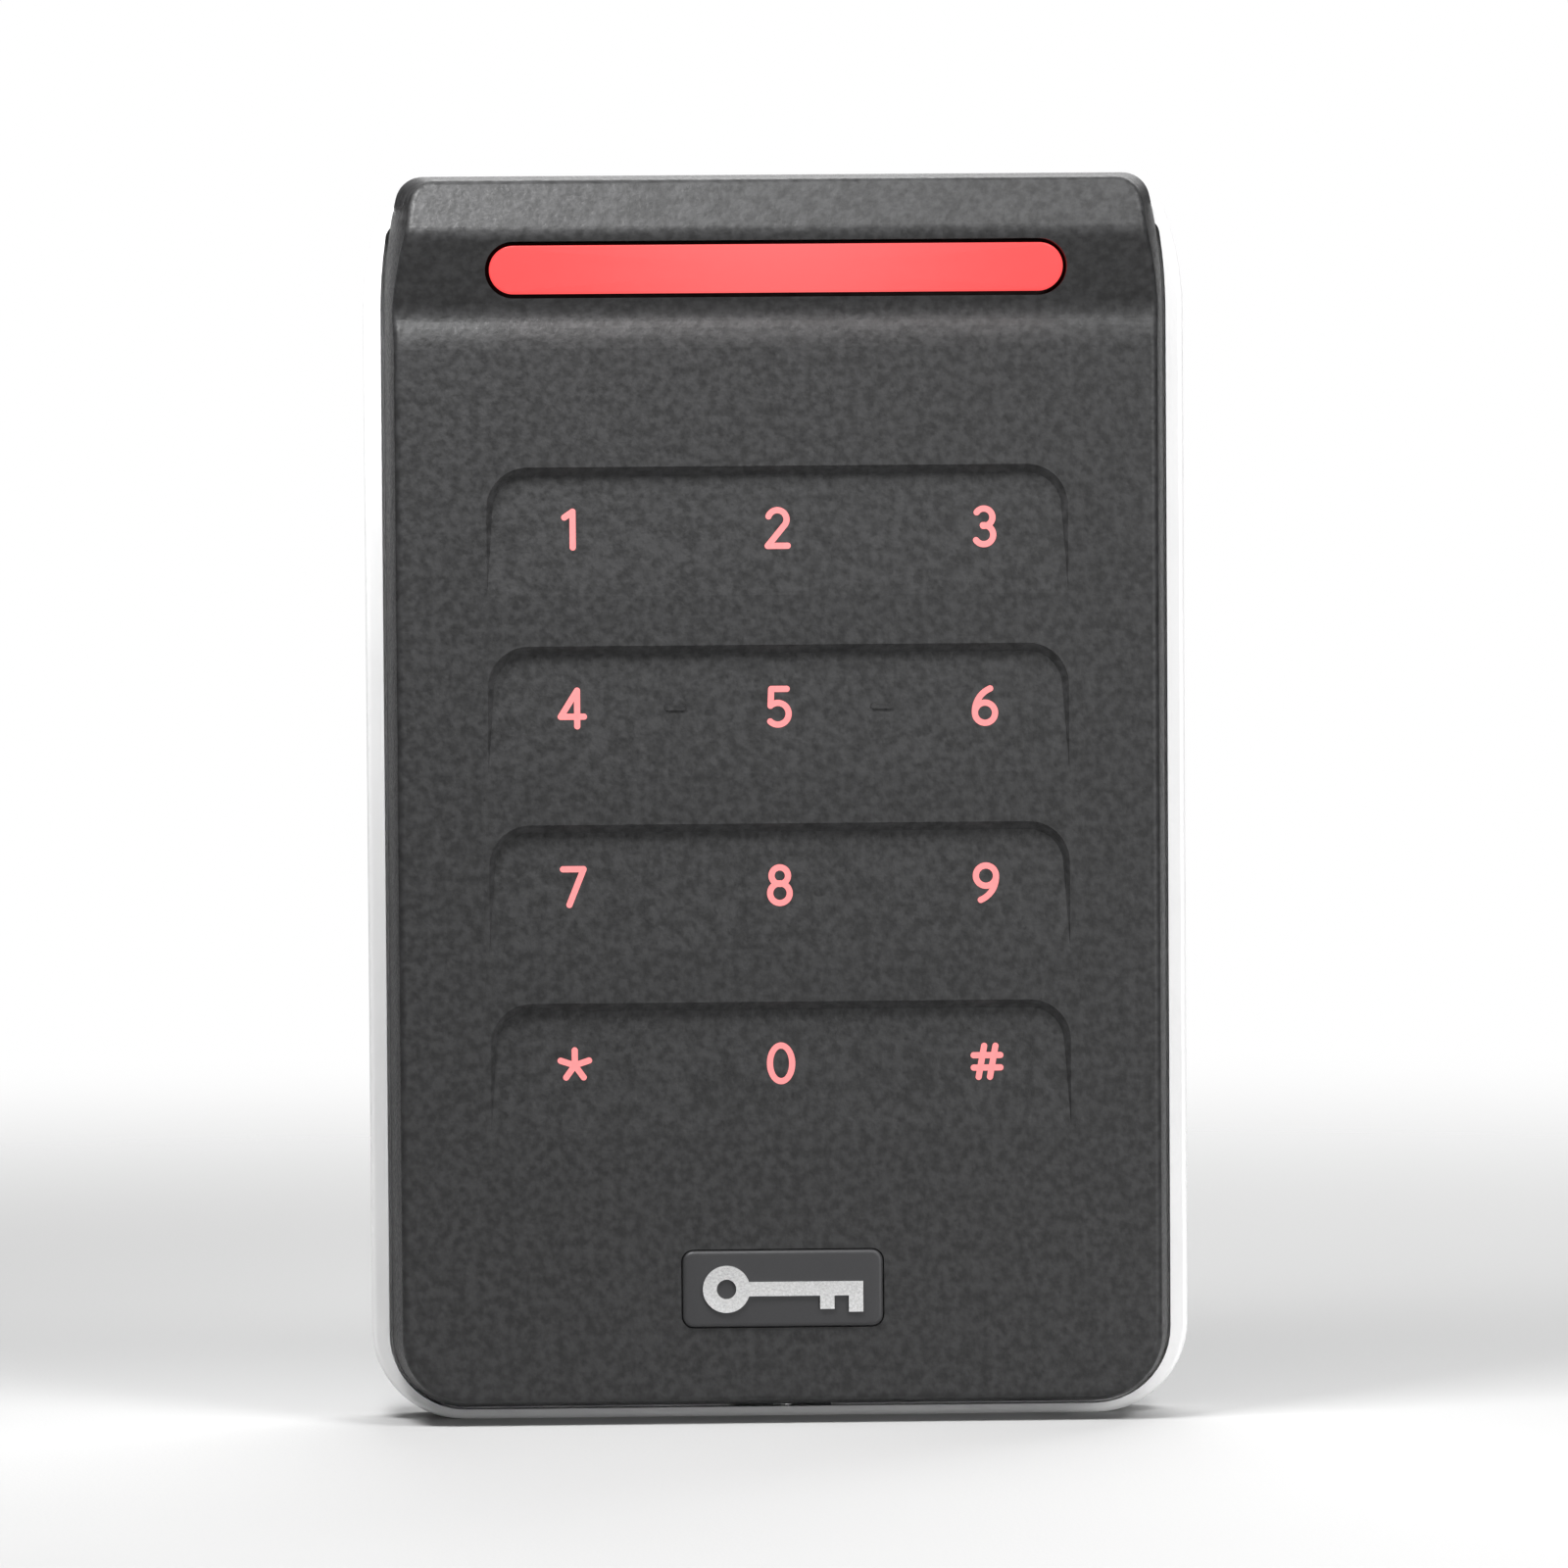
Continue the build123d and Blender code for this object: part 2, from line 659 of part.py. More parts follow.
# ------------------------------------------------------------------ front cover
def hood_profile(proud=0.0):
    """Side view (depth, z) of everything behind the front surface."""
    low_n = (cos(radians(hood_slope)), -sin(radians(hood_slope)))
    top_n = (cos(radians(hood_top_slope)), sin(radians(hood_top_slope)))
    centre = (body_depth - crest_radius, half_h - crest_drop)
    reach = crest_radius / (1 + low_n[0] * top_n[0] + low_n[1] * top_n[1])
    crest = (centre[0] + reach * (low_n[0] + top_n[0]), centre[1] + reach * (low_n[1] + top_n[1]))
    dip_z = half_h - dip_drop
    dip = (crest[0] - (crest[1] - dip_z) * tan(radians(hood_slope)), dip_z)
    out_z = half_h + crest_drop
    out = (crest[0] - (out_z - crest[1]) * tan(radians(hood_top_slope)), out_z)
    line = FilletPolyline(
        (face_depth + proud, -half_h - over),
        (face_depth + proud, half_h - lead_drop),
        (dip[0] + proud, dip[1]),
        (crest[0] + proud, crest[1]),
        (out[0] + proud, out[1]),
        radius=[lead_radius, dip_radius, crest_radius],
    )
    back = Polyline(
        (out[0] + proud, out[1]),
        (0, out_z),
        (0, -half_h - over),
        (face_depth + proud, -half_h - over),
    )
    return make_face([*line.edges(), *back.edges()])


def rim_edges(solid):
    """Edges between the surfaces that face forward and the drafted sides."""
    fronts = [face for face in solid.faces() if face.normal_at().Y < -0.6]
    around = [edge for face in fronts for edge in face.edges()]
    return [edge for edge in solid.edges() if sum(edge.is_same(other) for other in around) == 1]


def cover_block():
    """Outside of the cover, with the hood, before anything is cut into it."""
    rise = body_depth + over - skirt_end
    inset = rise * tan(radians(draft))
    top = around_cover(0, half_h, cover_top_corner)
    front = shield(
        cover_half_w - inset,
        cover_low + inset,
        half_h - rise * tan(radians(top_draft)),
        cover_corner - inset,
        cover_top_corner,
        cover_shoulder - inset,
    )
    sides = loft(
        [Plane.XZ.offset(skirt_end) * top, Plane.XZ.offset(skirt_end + rise) * front], ruled=True
    )
    cover = sides & across(hood_profile(), -half_w, half_w)
    cover = fillet(rim_edges(cover), face_round)
    lip = slab(top, lip_back, skirt_end)
    lip &= block(-half_w, half_w, trim_top + lip_gap, half_h + over, 0, far)
    skirt = slab(around_cover(0, under_bar, skirt_top_corner), cover_rim, skirt_end)
    return cover + lip + skirt


def key_shelf(row):
    """Cutter for one row of keys: sloped walls above and beside, and a floor that ramps out."""
    lead = 0.4
    spread = tan(radians(shelf_wall_angle))
    top = key_z[row] + shelf_rise
    height = shelf_run + 2 * shelf_corner
    outline = Pos(0, top - height / 2) * rounded(
        shelf_width + 2 * lead * spread, height + 2 * lead * spread, shelf_corner + lead * spread
    )
    reach = lead + shelf_depth + slack
    plane = Plane(origin=(0, -(face_depth + lead), 0), x_dir=(1, 0, 0), z_dir=(0, -1, 0))
    sunk = extrude(plane * outline, amount=-reach, taper=shelf_wall_angle)
    floor = Polygon(
        (face_depth - shelf_depth, top + over),
        (face_depth - shelf_depth, top),
        (face_depth, top - shelf_run),
        (face_depth + over, top - shelf_run),
        (face_depth + over, top + over),
        align=None,
    )
    return sunk & across(floor, -half_w, half_w)


def stroke(start, end):
    """Straight pen stroke with round ends."""
    run = Vector(*end) - Vector(*start)
    middle = (Vector(*start) + Vector(*end)) * 0.5
    turn = degrees(atan2(run.Y, run.X))
    return Pos(middle.X, middle.Y) * Rot(0, 0, turn) * SlotCenterToCenter(run.length, legend_stroke)


def bow(centre, radius, start, sweep):
    """Curved pen stroke with round ends."""
    return SlotArc(CenterArc(centre, radius, start, sweep), legend_stroke)


def hoop(centre, radius):
    """Closed round pen stroke."""
    half = legend_stroke / 2
    return Pos(*centre) * (Circle(radius + half) - Circle(radius - half))


def legend(name):
    """Plain outline of one key legend, centred on the key."""
    top = (legend_height - legend_stroke) / 2
    if name == "1":
        return stroke((-0.6, top - 0.55), (0.2, top)) + stroke((0.2, top), (0.2, -top))
    if name == "2":
        shape = bow((0, top - 0.9), 0.9, -30, 190)
        shape += stroke((0.78, top - 1.35), (-0.95, -top))
        return shape + stroke((-0.95, -top), (0.98, -top))
    if name == "3":
        return bow((0, top - 0.84), 0.84, -95, 240) + bow((-0.02, -top + 0.92), 0.92, -145, 240)
    if name == "4":
        shape = stroke((0.5, top), (-1.1, -0.8)) + stroke((-1.1, -0.8), (1.15, -0.8))
        return shape + stroke((0.5, top), (0.5, -top))
    if name == "5":
        shape = stroke((-0.7, top), (0.8, top)) + stroke((-0.7, top), (-0.78, 0.1))
        return shape + bow((-0.08, -top + 1.05), 1.05, -135, 265)
    if name == "6":
        return hoop((0, -top + 0.98), 0.98) + bow((1.42, -top + 1.1), 2.4, 112, 66)
    if name == "7":
        return stroke((-1.0, top), (1.0, top)) + stroke((1.0, top), (-0.4, -top))
    if name == "8":
        return hoop((0, top - 0.8), 0.8) + hoop((0, -top + 0.95), 0.95)
    if name == "9":
        return Rot(0, 0, 180) * legend("6")
    if name == "0":
        half = legend_stroke / 2
        return Ellipse(1.08 + half, top + half) - Ellipse(1.08 - half, top - half)
    if name == "star":
        arms = Sketch()
        for turn in range(5):
            angle = radians(90 + 72 * turn)
            arms += stroke((0, 0), (1.45 * cos(angle), 1.45 * sin(angle)))
        return arms
    bars = Sketch()
    for side in (-1, 1):
        bars += stroke((0.55 * side - 0.28, -1.5), (0.55 * side + 0.28, 1.5))
        bars += stroke((-1.3, 0.6 * side), (1.3, 0.6 * side))
    return bars


legend_rows = (("1", "2", "3"), ("4", "5", "6"), ("7", "8", "9"), ("star", "0", "hash"))


def legend_prism(row, column):
    """Straight prism of one legend, from the inlay's floor out past the face."""
    outline = Pos(key_x[column], key_z[row]) * legend(legend_rows[row][column])
    return slab(outline, face_depth - legend_depth, face_depth + over)


def badge_outline(grow):
    """Rounded outline of the badge, grown by a clearance."""
    return Pos(0, badge_z) * rounded(
        badge_length + 2 * grow, badge_height + 2 * grow, badge_corner + grow
    )


def bar_outline(grow):
    """Round-ended outline of the light bar, grown by a clearance."""
    return Pos(0, bar_z) * SlotOverall(bar_length + 2 * grow, bar_height + 2 * grow)


def shelved_cover():
    """Cover with its key shelves, cavity, bosses and tactile marks, before inlays are cut."""
    cover = cover_block()
    for row in range(len(key_z)):
        cover -= key_shelf(row)
    cover -= slab(around_cover(-cover_side_wall, cavity_top, cavity_corner), cover_rim - over, cover_inside)
    for side in (-1, 1):
        mark = Pos(side * key_pitch_x / 2, key_z[1]) * SlotOverall(ridge_length, ridge_height)
        floor = face_depth - shelf_depth * (1 - shelf_rise / shelf_run)
        cover += slab(mark, cover_inside + root, floor + ridge_proud)
    for x in (-tower_x, tower_x):
        for z in tower_z:
            cover += rod(x, z, boss_radius, shell_rim + slack, cover_inside + root)
    return cover


def front_cover(shelved):
    """Black moulded cover."""
    cover = shelved
    for x in (-tower_x, tower_x):
        for z in tower_z:
            tip = housing_screw_front() + slack
            cover -= rod(x, z, housing_screw / 2 + thread_clearance, shell_rim - over, tip)
    for row in range(len(key_z)):
        for column in range(len(key_x)):
            cover -= legend_prism(row, column)
    cover -= slab(bar_outline(bar_gap), cover_inside - over, far)
    flange = slab(flange_outline(slack), cover_inside - over, cover_inside + flange_thickness + slack)
    cover -= flange
    cover -= slab(badge_outline(badge_gap), face_depth - badge_pocket, far)
    notch = lock_screw_head / 2 + lock_head_clearance + lock_notch
    return cover - upright(0, lock_depth, notch, -half_h, cavity_low)


def housing_screw_front():
    """Depth that the tips of the housing screws reach."""
    return reader_back + housing_head_recess + housing_head_height + housing_screw_length


# ------------------------------------------------------------------ light bar
def flange_outline(grow):
    """Rectangular flange behind the light bar."""
    half = bar_length / 2 + flange_margin + grow
    low = bar_z - bar_height / 2 - flange_margin - grow
    high = cavity_top - slack + grow
    return Pos(0, (low + high) / 2) * Rectangle(2 * half, high - low)


def light_bar_lens():
    """Translucent light bar that follows the hood's slope, with a flange behind the cover."""
    lens = slab(bar_outline(0), cover_inside, far / 4) & across(hood_profile(bar_proud), -half_w, half_w)
    return lens + slab(flange_outline(0), cover_inside, cover_inside + flange_thickness)


def light_guide():
    """Clear bar that spreads the status LEDs behind the lens."""
    back = main_front + status_led_height + guide_clearance
    low = bar_z - bar_height / 2 + guide_low
    high = cavity_top - 2 * slack
    half = bar_length / 2 - guide_end
    return block(-half, half, low, high, back, cover_inside - slack)


def status_leds():
    """Row of LEDs under the light guide."""
    gaps = status_led_count - 1
    pitch = (bar_length - 2 * status_led_margin) / gaps
    half_x = led_length / 2
    half_z = status_led_width / 2
    front = main_front + status_led_height
    leds = []
    for index in range(status_led_count):
        x = (index - gaps / 2) * pitch
        leds.append(block(x - half_x, x + half_x, bar_z - half_z, bar_z + half_z, main_front, front))
    return Compound(children=leds)


# ------------------------------------------------------------------ legends, badge
def key_legends(shelved):
    """Twelve translucent legends, flush with the cover."""
    inlays = []
    for row in range(len(key_z)):
        for column in range(len(key_x)):
            inlays.extend((legend_prism(row, column) & shelved).solids())
    return Compound(children=inlays)


def badge_plate():
    """Small bevelled plate set into the face."""
    back = face_depth - badge_pocket
    plate = slab(badge_outline(0), back, face_depth + badge_proud)
    return chamfer(plate.faces().sort_by(Axis.Y)[0].edges(), badge_bevel * 0.8, badge_bevel)


def badge_emblem():
    """Plain key silhouette on the badge: a ring bow, a shaft and two teeth."""
    shape = Pos(emblem_bow_x, badge_z) * (Circle(emblem_bow) - Circle(emblem_eye))
    shaft_x = emblem_bow_x + (emblem_bow + emblem_eye) / 2
    shaft = Rectangle(emblem_tip_x - shaft_x, emblem_line)
    shape += Pos((shaft_x + emblem_tip_x) / 2, badge_z) * shaft
    for x, drop in emblem_teeth:
        shape += Pos(x, badge_z - drop / 2) * Rectangle(emblem_line, drop)
    front = face_depth + badge_proud
    return slab(shape, front, front + emblem_thickness)


# ------------------------------------------------------------------ keypad stack
def legend_diffuser():
    """White film that evens out the light behind the legends."""
    sheet = Pos(0, keypad_mid) * rounded(2 * board_half_w, 2 * keypad_half_h, board_corner)
    return slab(sheet, diffuser_front - diffuser_thickness, diffuser_front)


def keypad_board():
    """Touch keypad board, with a light hole behind each legend."""
    sheet = Pos(0, keypad_mid) * rounded(2 * board_half_w, 2 * keypad_half_h, board_corner)
    for x in key_x:
        for z in key_z:
            sheet -= Pos(x, z) * Circle(light_hole / 2)
    return slab(sheet, keypad_back, keypad_front)


def touch_electrodes():
    """Twelve copper touch pads on the keypad board."""
    pads = []
    for x in key_x:
        for z in key_z:
            pad = Pos(x, z) * rounded(touch_pad_width, touch_pad_height, touch_pad_corner)
            pad -= Pos(x, z) * Circle(touch_pad_hole / 2)
            pads.append(slab(pad, keypad_front, keypad_front + pad_thickness))
    return Compound(children=pads)


def backlight_leds():
    """One LED behind each legend, under its light hole."""
    half_x = led_length / 2
    half_z = led_width / 2
    leds = []
    for x in key_x:
        for z in key_z:
            leds.append(
                block(x - half_x, x + half_x, z - half_z, z + half_z, keypad_back - led_height, keypad_back)
            )
    return Compound(children=leds)


def hf_antenna():
    """Square spiral track on the back of the keypad board."""
    path = []
    for turn in range(track_turns):
        a = board_half_w - board_edge - turn * track_pitch
        b = keypad_half_h - board_edge - turn * track_pitch
        entry = a + track_pitch if turn else a
        path += [(-entry, b), (a, b), (a, -b), (-a, -b)]
    corner_signs = ((-1, 1), (1, 1), (1, -1), (-1, -1))
    half = track_width / 2
    outer = []
    inner = []
    for index, (x, z) in enumerate(path):
        sign_x, sign_z = corner_signs[index % 4]
        outer.append((x + half * sign_x, z + half * sign_z))
        inner.append((x - half * sign_x, z - half * sign_z))
    outer.append((-a - half, b - track_pitch))
    inner.append((-a + half, b - track_pitch))
    outline = Pos(0, keypad_mid) * Polygon(*outer, *reversed(inner), align=None)
    return slab(outline, keypad_back - pad_thickness, keypad_back)


def ferrite_sheet():
    """Ferrite behind the antennas, stuck to the main board."""
    sheet = Pos(0, keypad_mid) * rounded(2 * ferrite_half_w, 2 * ferrite_half_h, board_corner / 2)
    hole = Rectangle(connector_width + connector_room, connector_height + connector_room)
    sheet -= Pos(0, connector_z) * hole
    return slab(sheet, main_front, main_front + ferrite_thickness)


def lf_coil():
    """Flat wound low-frequency coil, on the ferrite and round the backlight LEDs."""
    middle = Pos(0, keypad_mid)
    outer_w = 2 * (ferrite_half_w - coil_inset)
    outer_h = 2 * (ferrite_half_h - coil_inset)
    inner_w = outer_w - 2 * coil_section
    inner_h = outer_h - 2 * coil_section
    ring = middle * rounded(outer_w, outer_h, coil_corner)
    ring -= middle * rounded(inner_w, inner_h, coil_corner - coil_section)
    back = main_front + ferrite_thickness
    return slab(ring, back, back + coil_thickness)


def board_connector():
    """Board-to-board connector under the keypad board."""
    half_x = connector_width / 2
    half_z = connector_height / 2
    z = connector_z
    body = block(-half_x, half_x, z - half_z, z + half_z, main_front, keypad_back)
    slot = connector_slot / 2
    back = main_front + connector_wall
    front = keypad_back - connector_wall
    return body - block(-half_x - over, half_x + over, z - slot, z + slot, back, front)


# ------------------------------------------------------------------ main board
def main_board():
    """Main board, screwed to the rear shell's posts."""
    middle = (main_low + main_top) / 2
    sheet = Pos(0, middle) * rounded(2 * board_half_w, main_top - main_low, board_corner * 0.75)
    for x in (-board_post_x, board_post_x):
        for z in (board_post_low, board_post_high):
            sheet -= Pos(x, z) * Circle(board_screw / 2 + slack)
    return slab(sheet, main_back, main_front) - pin_blocks()


def chip(place):
    """Low package on the back of the main board, with a small index mark."""
    x, drop, width, height, thickness = place
    z = drop - header_low
    back = main_back - thickness
    body = block(x - width / 2, x + width / 2, z - height / 2, z + height / 2, back, main_back)
    inset = 0.9
    mark = rod(x - width / 2 + inset, z + height / 2 - inset, 0.35, 0, back + slack)
    return body - mark


def radio_shield():
    """Pressed shield over the radio module."""
    x, drop, _, _, thickness = radio_board
    z = drop - header_low
    back = main_back - thickness
    half_x = shield_width / 2
    half_z = shield_height / 2
    can = block(x - half_x, x + half_x, z - half_z, z + half_z, back - shield_depth, back)
    half_x -= sheet_metal
    half_z -= sheet_metal
    inside = back - shield_depth + sheet_metal
    return can - block(x - half_x, x + half_x, z - half_z, z + half_z, inside, back + over)


def crystal():
    """Controller's crystal."""
    x, drop, width, height, thickness = crystal_can
    outline = Pos(x, drop - header_low) * rounded(width, height, 0.4)
    body = slab(outline, main_back - thickness, main_back)
    return fillet(body.faces().sort_by(Axis.Y)[-1].edges(), 0.12)


def power_inductor():
    """Shielded inductor of the supply, with its round core showing."""
    x, drop, width, height, thickness = inductor
    z = drop - header_low
    back = main_back - thickness
    body = slab(Pos(x, z) * rounded(width, height, 1.0), back, main_back)
    core = width * 0.27
    groove = width * 0.4
    return body - (rod(x, z, groove, 0, back + 2 * sheet_metal) - rod(x, z, core, 0, main_back))


def power_capacitors():
    """Two supply capacitors on square bases."""
    drop, base_width, can_width, base_height, whole_height = capacitor
    z = drop - header_low
    base_back = main_back - base_height
    cans = []
    for x in capacitor_x:
        base = slab(Pos(x, z) * Rectangle(base_width, base_width), base_back, main_back)
        can = rod(x, z, can_width / 2, main_back - whole_height, base_back)
        can = fillet(can.faces().sort_by(Axis.Y)[-1].edges(), 0.3)
        cans.append((base + can).solid())
    return Compound(children=cans)


def sounder():
    """Round sounder with a port in the middle of its lid."""
    x, drop, width, height = sounder_case
    z = drop - header_low
    case = rod(x, z, width / 2, main_back - height, main_back)
    case = fillet(case.faces().sort_by(Axis.Y)[-1].edges(), 0.5)
    return case - rod(x, z, width / 12, 0, main_back - height + over)


def tamper_sensor():
    """Optical sensor that sees the wall through the shell's window."""
    x = tamper_x
    z = tamper_z
    half = sensor_width / 2
    body = block(x - half, x + half, z - half, z + half, main_back - sensor_height, main_back)
    return body - rod(x, z, half / 2, 0, main_back - sensor_height + 0.3)


def tamper_window():
    """Clear light pipe through the rear shell, with a collar inside."""
    front = main_back - sensor_height - slack
    pipe = rod(tamper_x, tamper_z, tamper_pipe_radius, reader_back, front)
    collar_radius = tamper_pipe_radius + tamper_collar
    return pipe + rod(tamper_x, tamper_z, collar_radius, shell_inside, shell_inside + tamper_collar)


# ------------------------------------------------------------------ terminals
def pin_places(x):
    """Middles of one header's pins."""
    return [x + (index - (pin_count - 1) / 2) * pin_pitch for index in range(pin_count)]


def pin_blocks():
    """Bent pins: up in the header's mouth, and forward through the main board."""
    half = pin_size / 2
    pins = []
    for header in (-header_x, header_x):
        for x in pin_places(header):
            rise = block(x - half, x + half, pin_low, pin_high, pin_depth - half, pin_depth + half)
            foot = block(
                x - half, x + half, pin_low, pin_low + pin_size, pin_depth - half, main_front
            )
            pins.append((rise + foot).solid())
    return Compound(children=pins)


def terminal_header(x):
    """Header housing, open upwards, that stands on the main board."""
    half = header_width / 2
    body = block(x - half, x + half, -header_low, header_high, header_back, main_back)
    mouth_half = half - header_wall
    mouth = block(
        x - mouth_half,
        x + mouth_half,
        header_mouth_low,
        header_high + over,
        header_back + header_wall,
        header_mouth_front,
    )
    return body - mouth - pin_blocks()


def terminal_plug(x):
    """Pluggable screw terminal: a tongue with sockets, wire holes on top, clamp wells at the back."""
    half = header_width / 2 - plug_side
    top = plug_low + plug_length
    body = block(x - half, x + half, plug_low, top, plug_back, plug_front)
    body = chamfer(body.edges().filter_by(Axis.X).group_by(Axis.Z)[-1], plug_chamfer)
    tongue_half = header_width / 2 - header_wall - tongue_clearance
    body += block(
        x - tongue_half,
        x + tongue_half,
        plug_low - tongue_length,
        plug_low,
        header_back + header_wall + tongue_clearance,
        header_mouth_front - tongue_clearance,
    )
    socket = pin_size / 2 + socket_clearance
    socket_top = pin_high + socket_clearance
    for place in pin_places(x):
        body -= block(
            place - socket, place + socket, 0, socket_top, pin_depth - socket, pin_depth + socket
        )
        body -= upright(place, pin_depth, wire_hole / 2, top - wire_hole_depth, top + over)
        well = plug_back + clamp_screw_sink + clamp_screw_height
        body -= rod(place, clamp_z, clamp_screw / 2 + thread_clearance, 0, well)
    return body


def plug_screws(x):
    """Slotted clamp screws of one plug."""
    screws = []
    back = plug_back + clamp_screw_sink
    for place in pin_places(x):
        screw = rod(place, clamp_z, clamp_screw / 2, back, back + clamp_screw_height)
        slot = clamp_slot / 2
        floor = back + clamp_slot_depth
        screw -= block(place - clamp_screw, place + clamp_screw, clamp_z - slot, clamp_z + slot, 0, floor)
        screws.append(screw.solid())
    return Compound(children=screws)


# ------------------------------------------------------------------ small parts
def pan_screw(x, z, head_back, head_radius, head_height, radius, length):
    """Pan-head screw with a cross recess, driven forward from behind."""
    head_front = head_back + head_height
    screw = rod(x, z, head_radius, head_back, head_front)
    screw = fillet(screw.faces().sort_by(Axis.Y)[-1].edges(), head_height * 0.4)
    shank = rod(x, z, radius, head_front - 0.05, head_front + length)
    screw += chamfer(shank.faces().sort_by(Axis.Y)[0].edges(), radius * 0.4)
    arm = head_radius * 0.55
    slot = head_radius * 0.12
    screw -= block(x - arm, x + arm, z - slot, z + slot, 0, head_back + head_height * 0.6)
    screw -= block(x - slot, x + slot, z - arm, z + arm, 0, head_back + head_height * 0.6)
    return screw.solid()


def housing_screws():
    """Four screws that pull the rear shell against the cover."""
    screws = []
    for x in (-tower_x, tower_x):
        for z in tower_z:
            screws.append(
                pan_screw(
                    x,
                    z,
                    reader_back + housing_head_recess,
                    housing_screw_head / 2,
                    housing_head_height,
                    housing_screw / 2,
                    housing_screw_length,
                )
            )
    return Compound(children=screws)


def board_screws():
    """Four screws that hold the main board on its posts, driven from the front."""
    screws = []
    for x in (-board_post_x, board_post_x):
        for z in (board_post_low, board_post_high):
            head = rod(x, z, board_screw_head / 2, main_front, main_front + board_screw_head_height)
            head = fillet(head.faces().sort_by(Axis.Y)[0].edges(), 0.3)
            tip = bump_top - board_screw_length + slack
            head += rod(x, z, board_screw / 2, tip, main_front + 0.1)
            slot = 0.2
            head -= block(x - 1.0, x + 1.0, z - slot, z + slot, main_front + 0.45, far)
            head -= block(x - slot, x + slot, z - 1.0, z + 1.0, main_front + 0.45, far)
            screws.append(head.solid())
    return Compound(children=screws)


def rating_label():
    """Plain label on the back of the rear shell."""
    middle = -recess_low - bump_wall - label_drop
    sheet = Pos(0, middle) * rounded(label_width, label_height, board_corner / 2)
    return slab(sheet, reader_back - label_thickness, reader_back)


# ------------------------------------------------------------------ build
os.makedirs("parts", exist_ok=True)
shelved = shelved_cover()
pieces = {
    "mounting_plate": mounting_plate(),
    "rear_shell": rear_shell(),
    "lock_insert": lock_insert(),
    "security_screw": security_screw(),
    "trim_frame": trim_frame(),
    "perimeter_seal": perimeter_seal(),
    "front_cover": front_cover(shelved),
    "light_bar_lens": light_bar_lens(),
    "light_guide": light_guide(),
    "status_leds": status_leds(),
    "key_legends": key_legends(shelved),
    "badge_plate": badge_plate(),
    "badge_emblem": badge_emblem(),
    "legend_diffuser": legend_diffuser(),
    "keypad_board": keypad_board(),
    "touch_electrodes": touch_electrodes(),
    "backlight_leds": backlight_leds(),
    "hf_antenna": hf_antenna(),
    "ferrite_sheet": ferrite_sheet(),
    "lf_coil": lf_coil(),
    "board_connector": board_connector(),
    "main_board": main_board(),
    "controller_chip": chip(controller),
    "secure_chip": chip(secure_element),
    "radio_module": chip(radio_board),
    "radio_shield": radio_shield(),
    "crystal": crystal(),
    "power_inductor": power_inductor(),
    "power_capacitors": power_capacitors(),
    "sounder": sounder(),
    "tamper_sensor": tamper_sensor(),
    "tamper_window": tamper_window(),
    "header_pins": pin_blocks(),
    "terminal_header_left": terminal_header(-header_x),
    "terminal_header_right": terminal_header(header_x),
    "terminal_plug_left": terminal_plug(-header_x),
    "terminal_plug_right": terminal_plug(header_x),
    "plug_screws_left": plug_screws(-header_x),
    "plug_screws_right": plug_screws(header_x),
    "housing_screws": housing_screws(),
    "board_screws": board_screws(),
    "rating_label": rating_label(),
}
for name, shape in pieces.items():
    export_step(shape, f"parts/{name}.step")
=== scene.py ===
"""Looks of a wall-mounted card reader with a touch keypad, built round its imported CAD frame.

All lengths are in metres. The reader's front faces -Y, and +Z runs up the wall.
"""

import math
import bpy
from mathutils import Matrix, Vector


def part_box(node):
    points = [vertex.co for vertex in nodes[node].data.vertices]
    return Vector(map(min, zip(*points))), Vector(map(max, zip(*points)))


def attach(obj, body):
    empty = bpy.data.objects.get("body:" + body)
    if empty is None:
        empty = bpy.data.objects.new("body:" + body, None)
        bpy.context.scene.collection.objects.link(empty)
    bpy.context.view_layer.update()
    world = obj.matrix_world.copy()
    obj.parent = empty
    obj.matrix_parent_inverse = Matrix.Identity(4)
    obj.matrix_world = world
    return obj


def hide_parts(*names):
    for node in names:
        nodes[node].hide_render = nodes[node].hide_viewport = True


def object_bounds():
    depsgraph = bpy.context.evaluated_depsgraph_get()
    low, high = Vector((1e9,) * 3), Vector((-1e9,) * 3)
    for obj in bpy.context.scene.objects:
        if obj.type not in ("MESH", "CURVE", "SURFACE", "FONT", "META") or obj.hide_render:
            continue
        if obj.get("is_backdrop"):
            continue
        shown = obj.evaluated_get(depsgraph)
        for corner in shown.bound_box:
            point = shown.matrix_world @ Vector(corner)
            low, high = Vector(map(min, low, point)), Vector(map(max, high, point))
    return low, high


bl_info = {
    "name": "Card reader with touch keypad",
    "version": (1, 0, 0),
    "blender": (4, 5, 0),
    "location": "3D View > Sidebar > Card Reader",
    "description": "Builds the finishes of a wall-mounted card reader round its CAD frame",
    "category": "Object",
}

import bmesh
import bpy
import numpy as np
from mathutils import Quaternion, Vector

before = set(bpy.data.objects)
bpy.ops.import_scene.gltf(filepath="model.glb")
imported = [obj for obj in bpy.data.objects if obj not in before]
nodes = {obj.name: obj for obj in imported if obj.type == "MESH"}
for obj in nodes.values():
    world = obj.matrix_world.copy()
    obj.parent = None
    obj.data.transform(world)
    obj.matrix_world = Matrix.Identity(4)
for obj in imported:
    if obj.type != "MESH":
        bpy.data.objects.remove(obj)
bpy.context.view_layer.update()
MM = 0.001

# the CAD's own sizes that its boxes don't give
HOOD_SLOPE = math.radians(31.0)
BAR_HEIGHT = 4.7 * MM
FLANGE_MARGIN = 1.0 * MM      # beyond the bar's ends and below it
FLANGE_THICKNESS = 0.8 * MM
BADGE_CORNER = 1.1 * MM

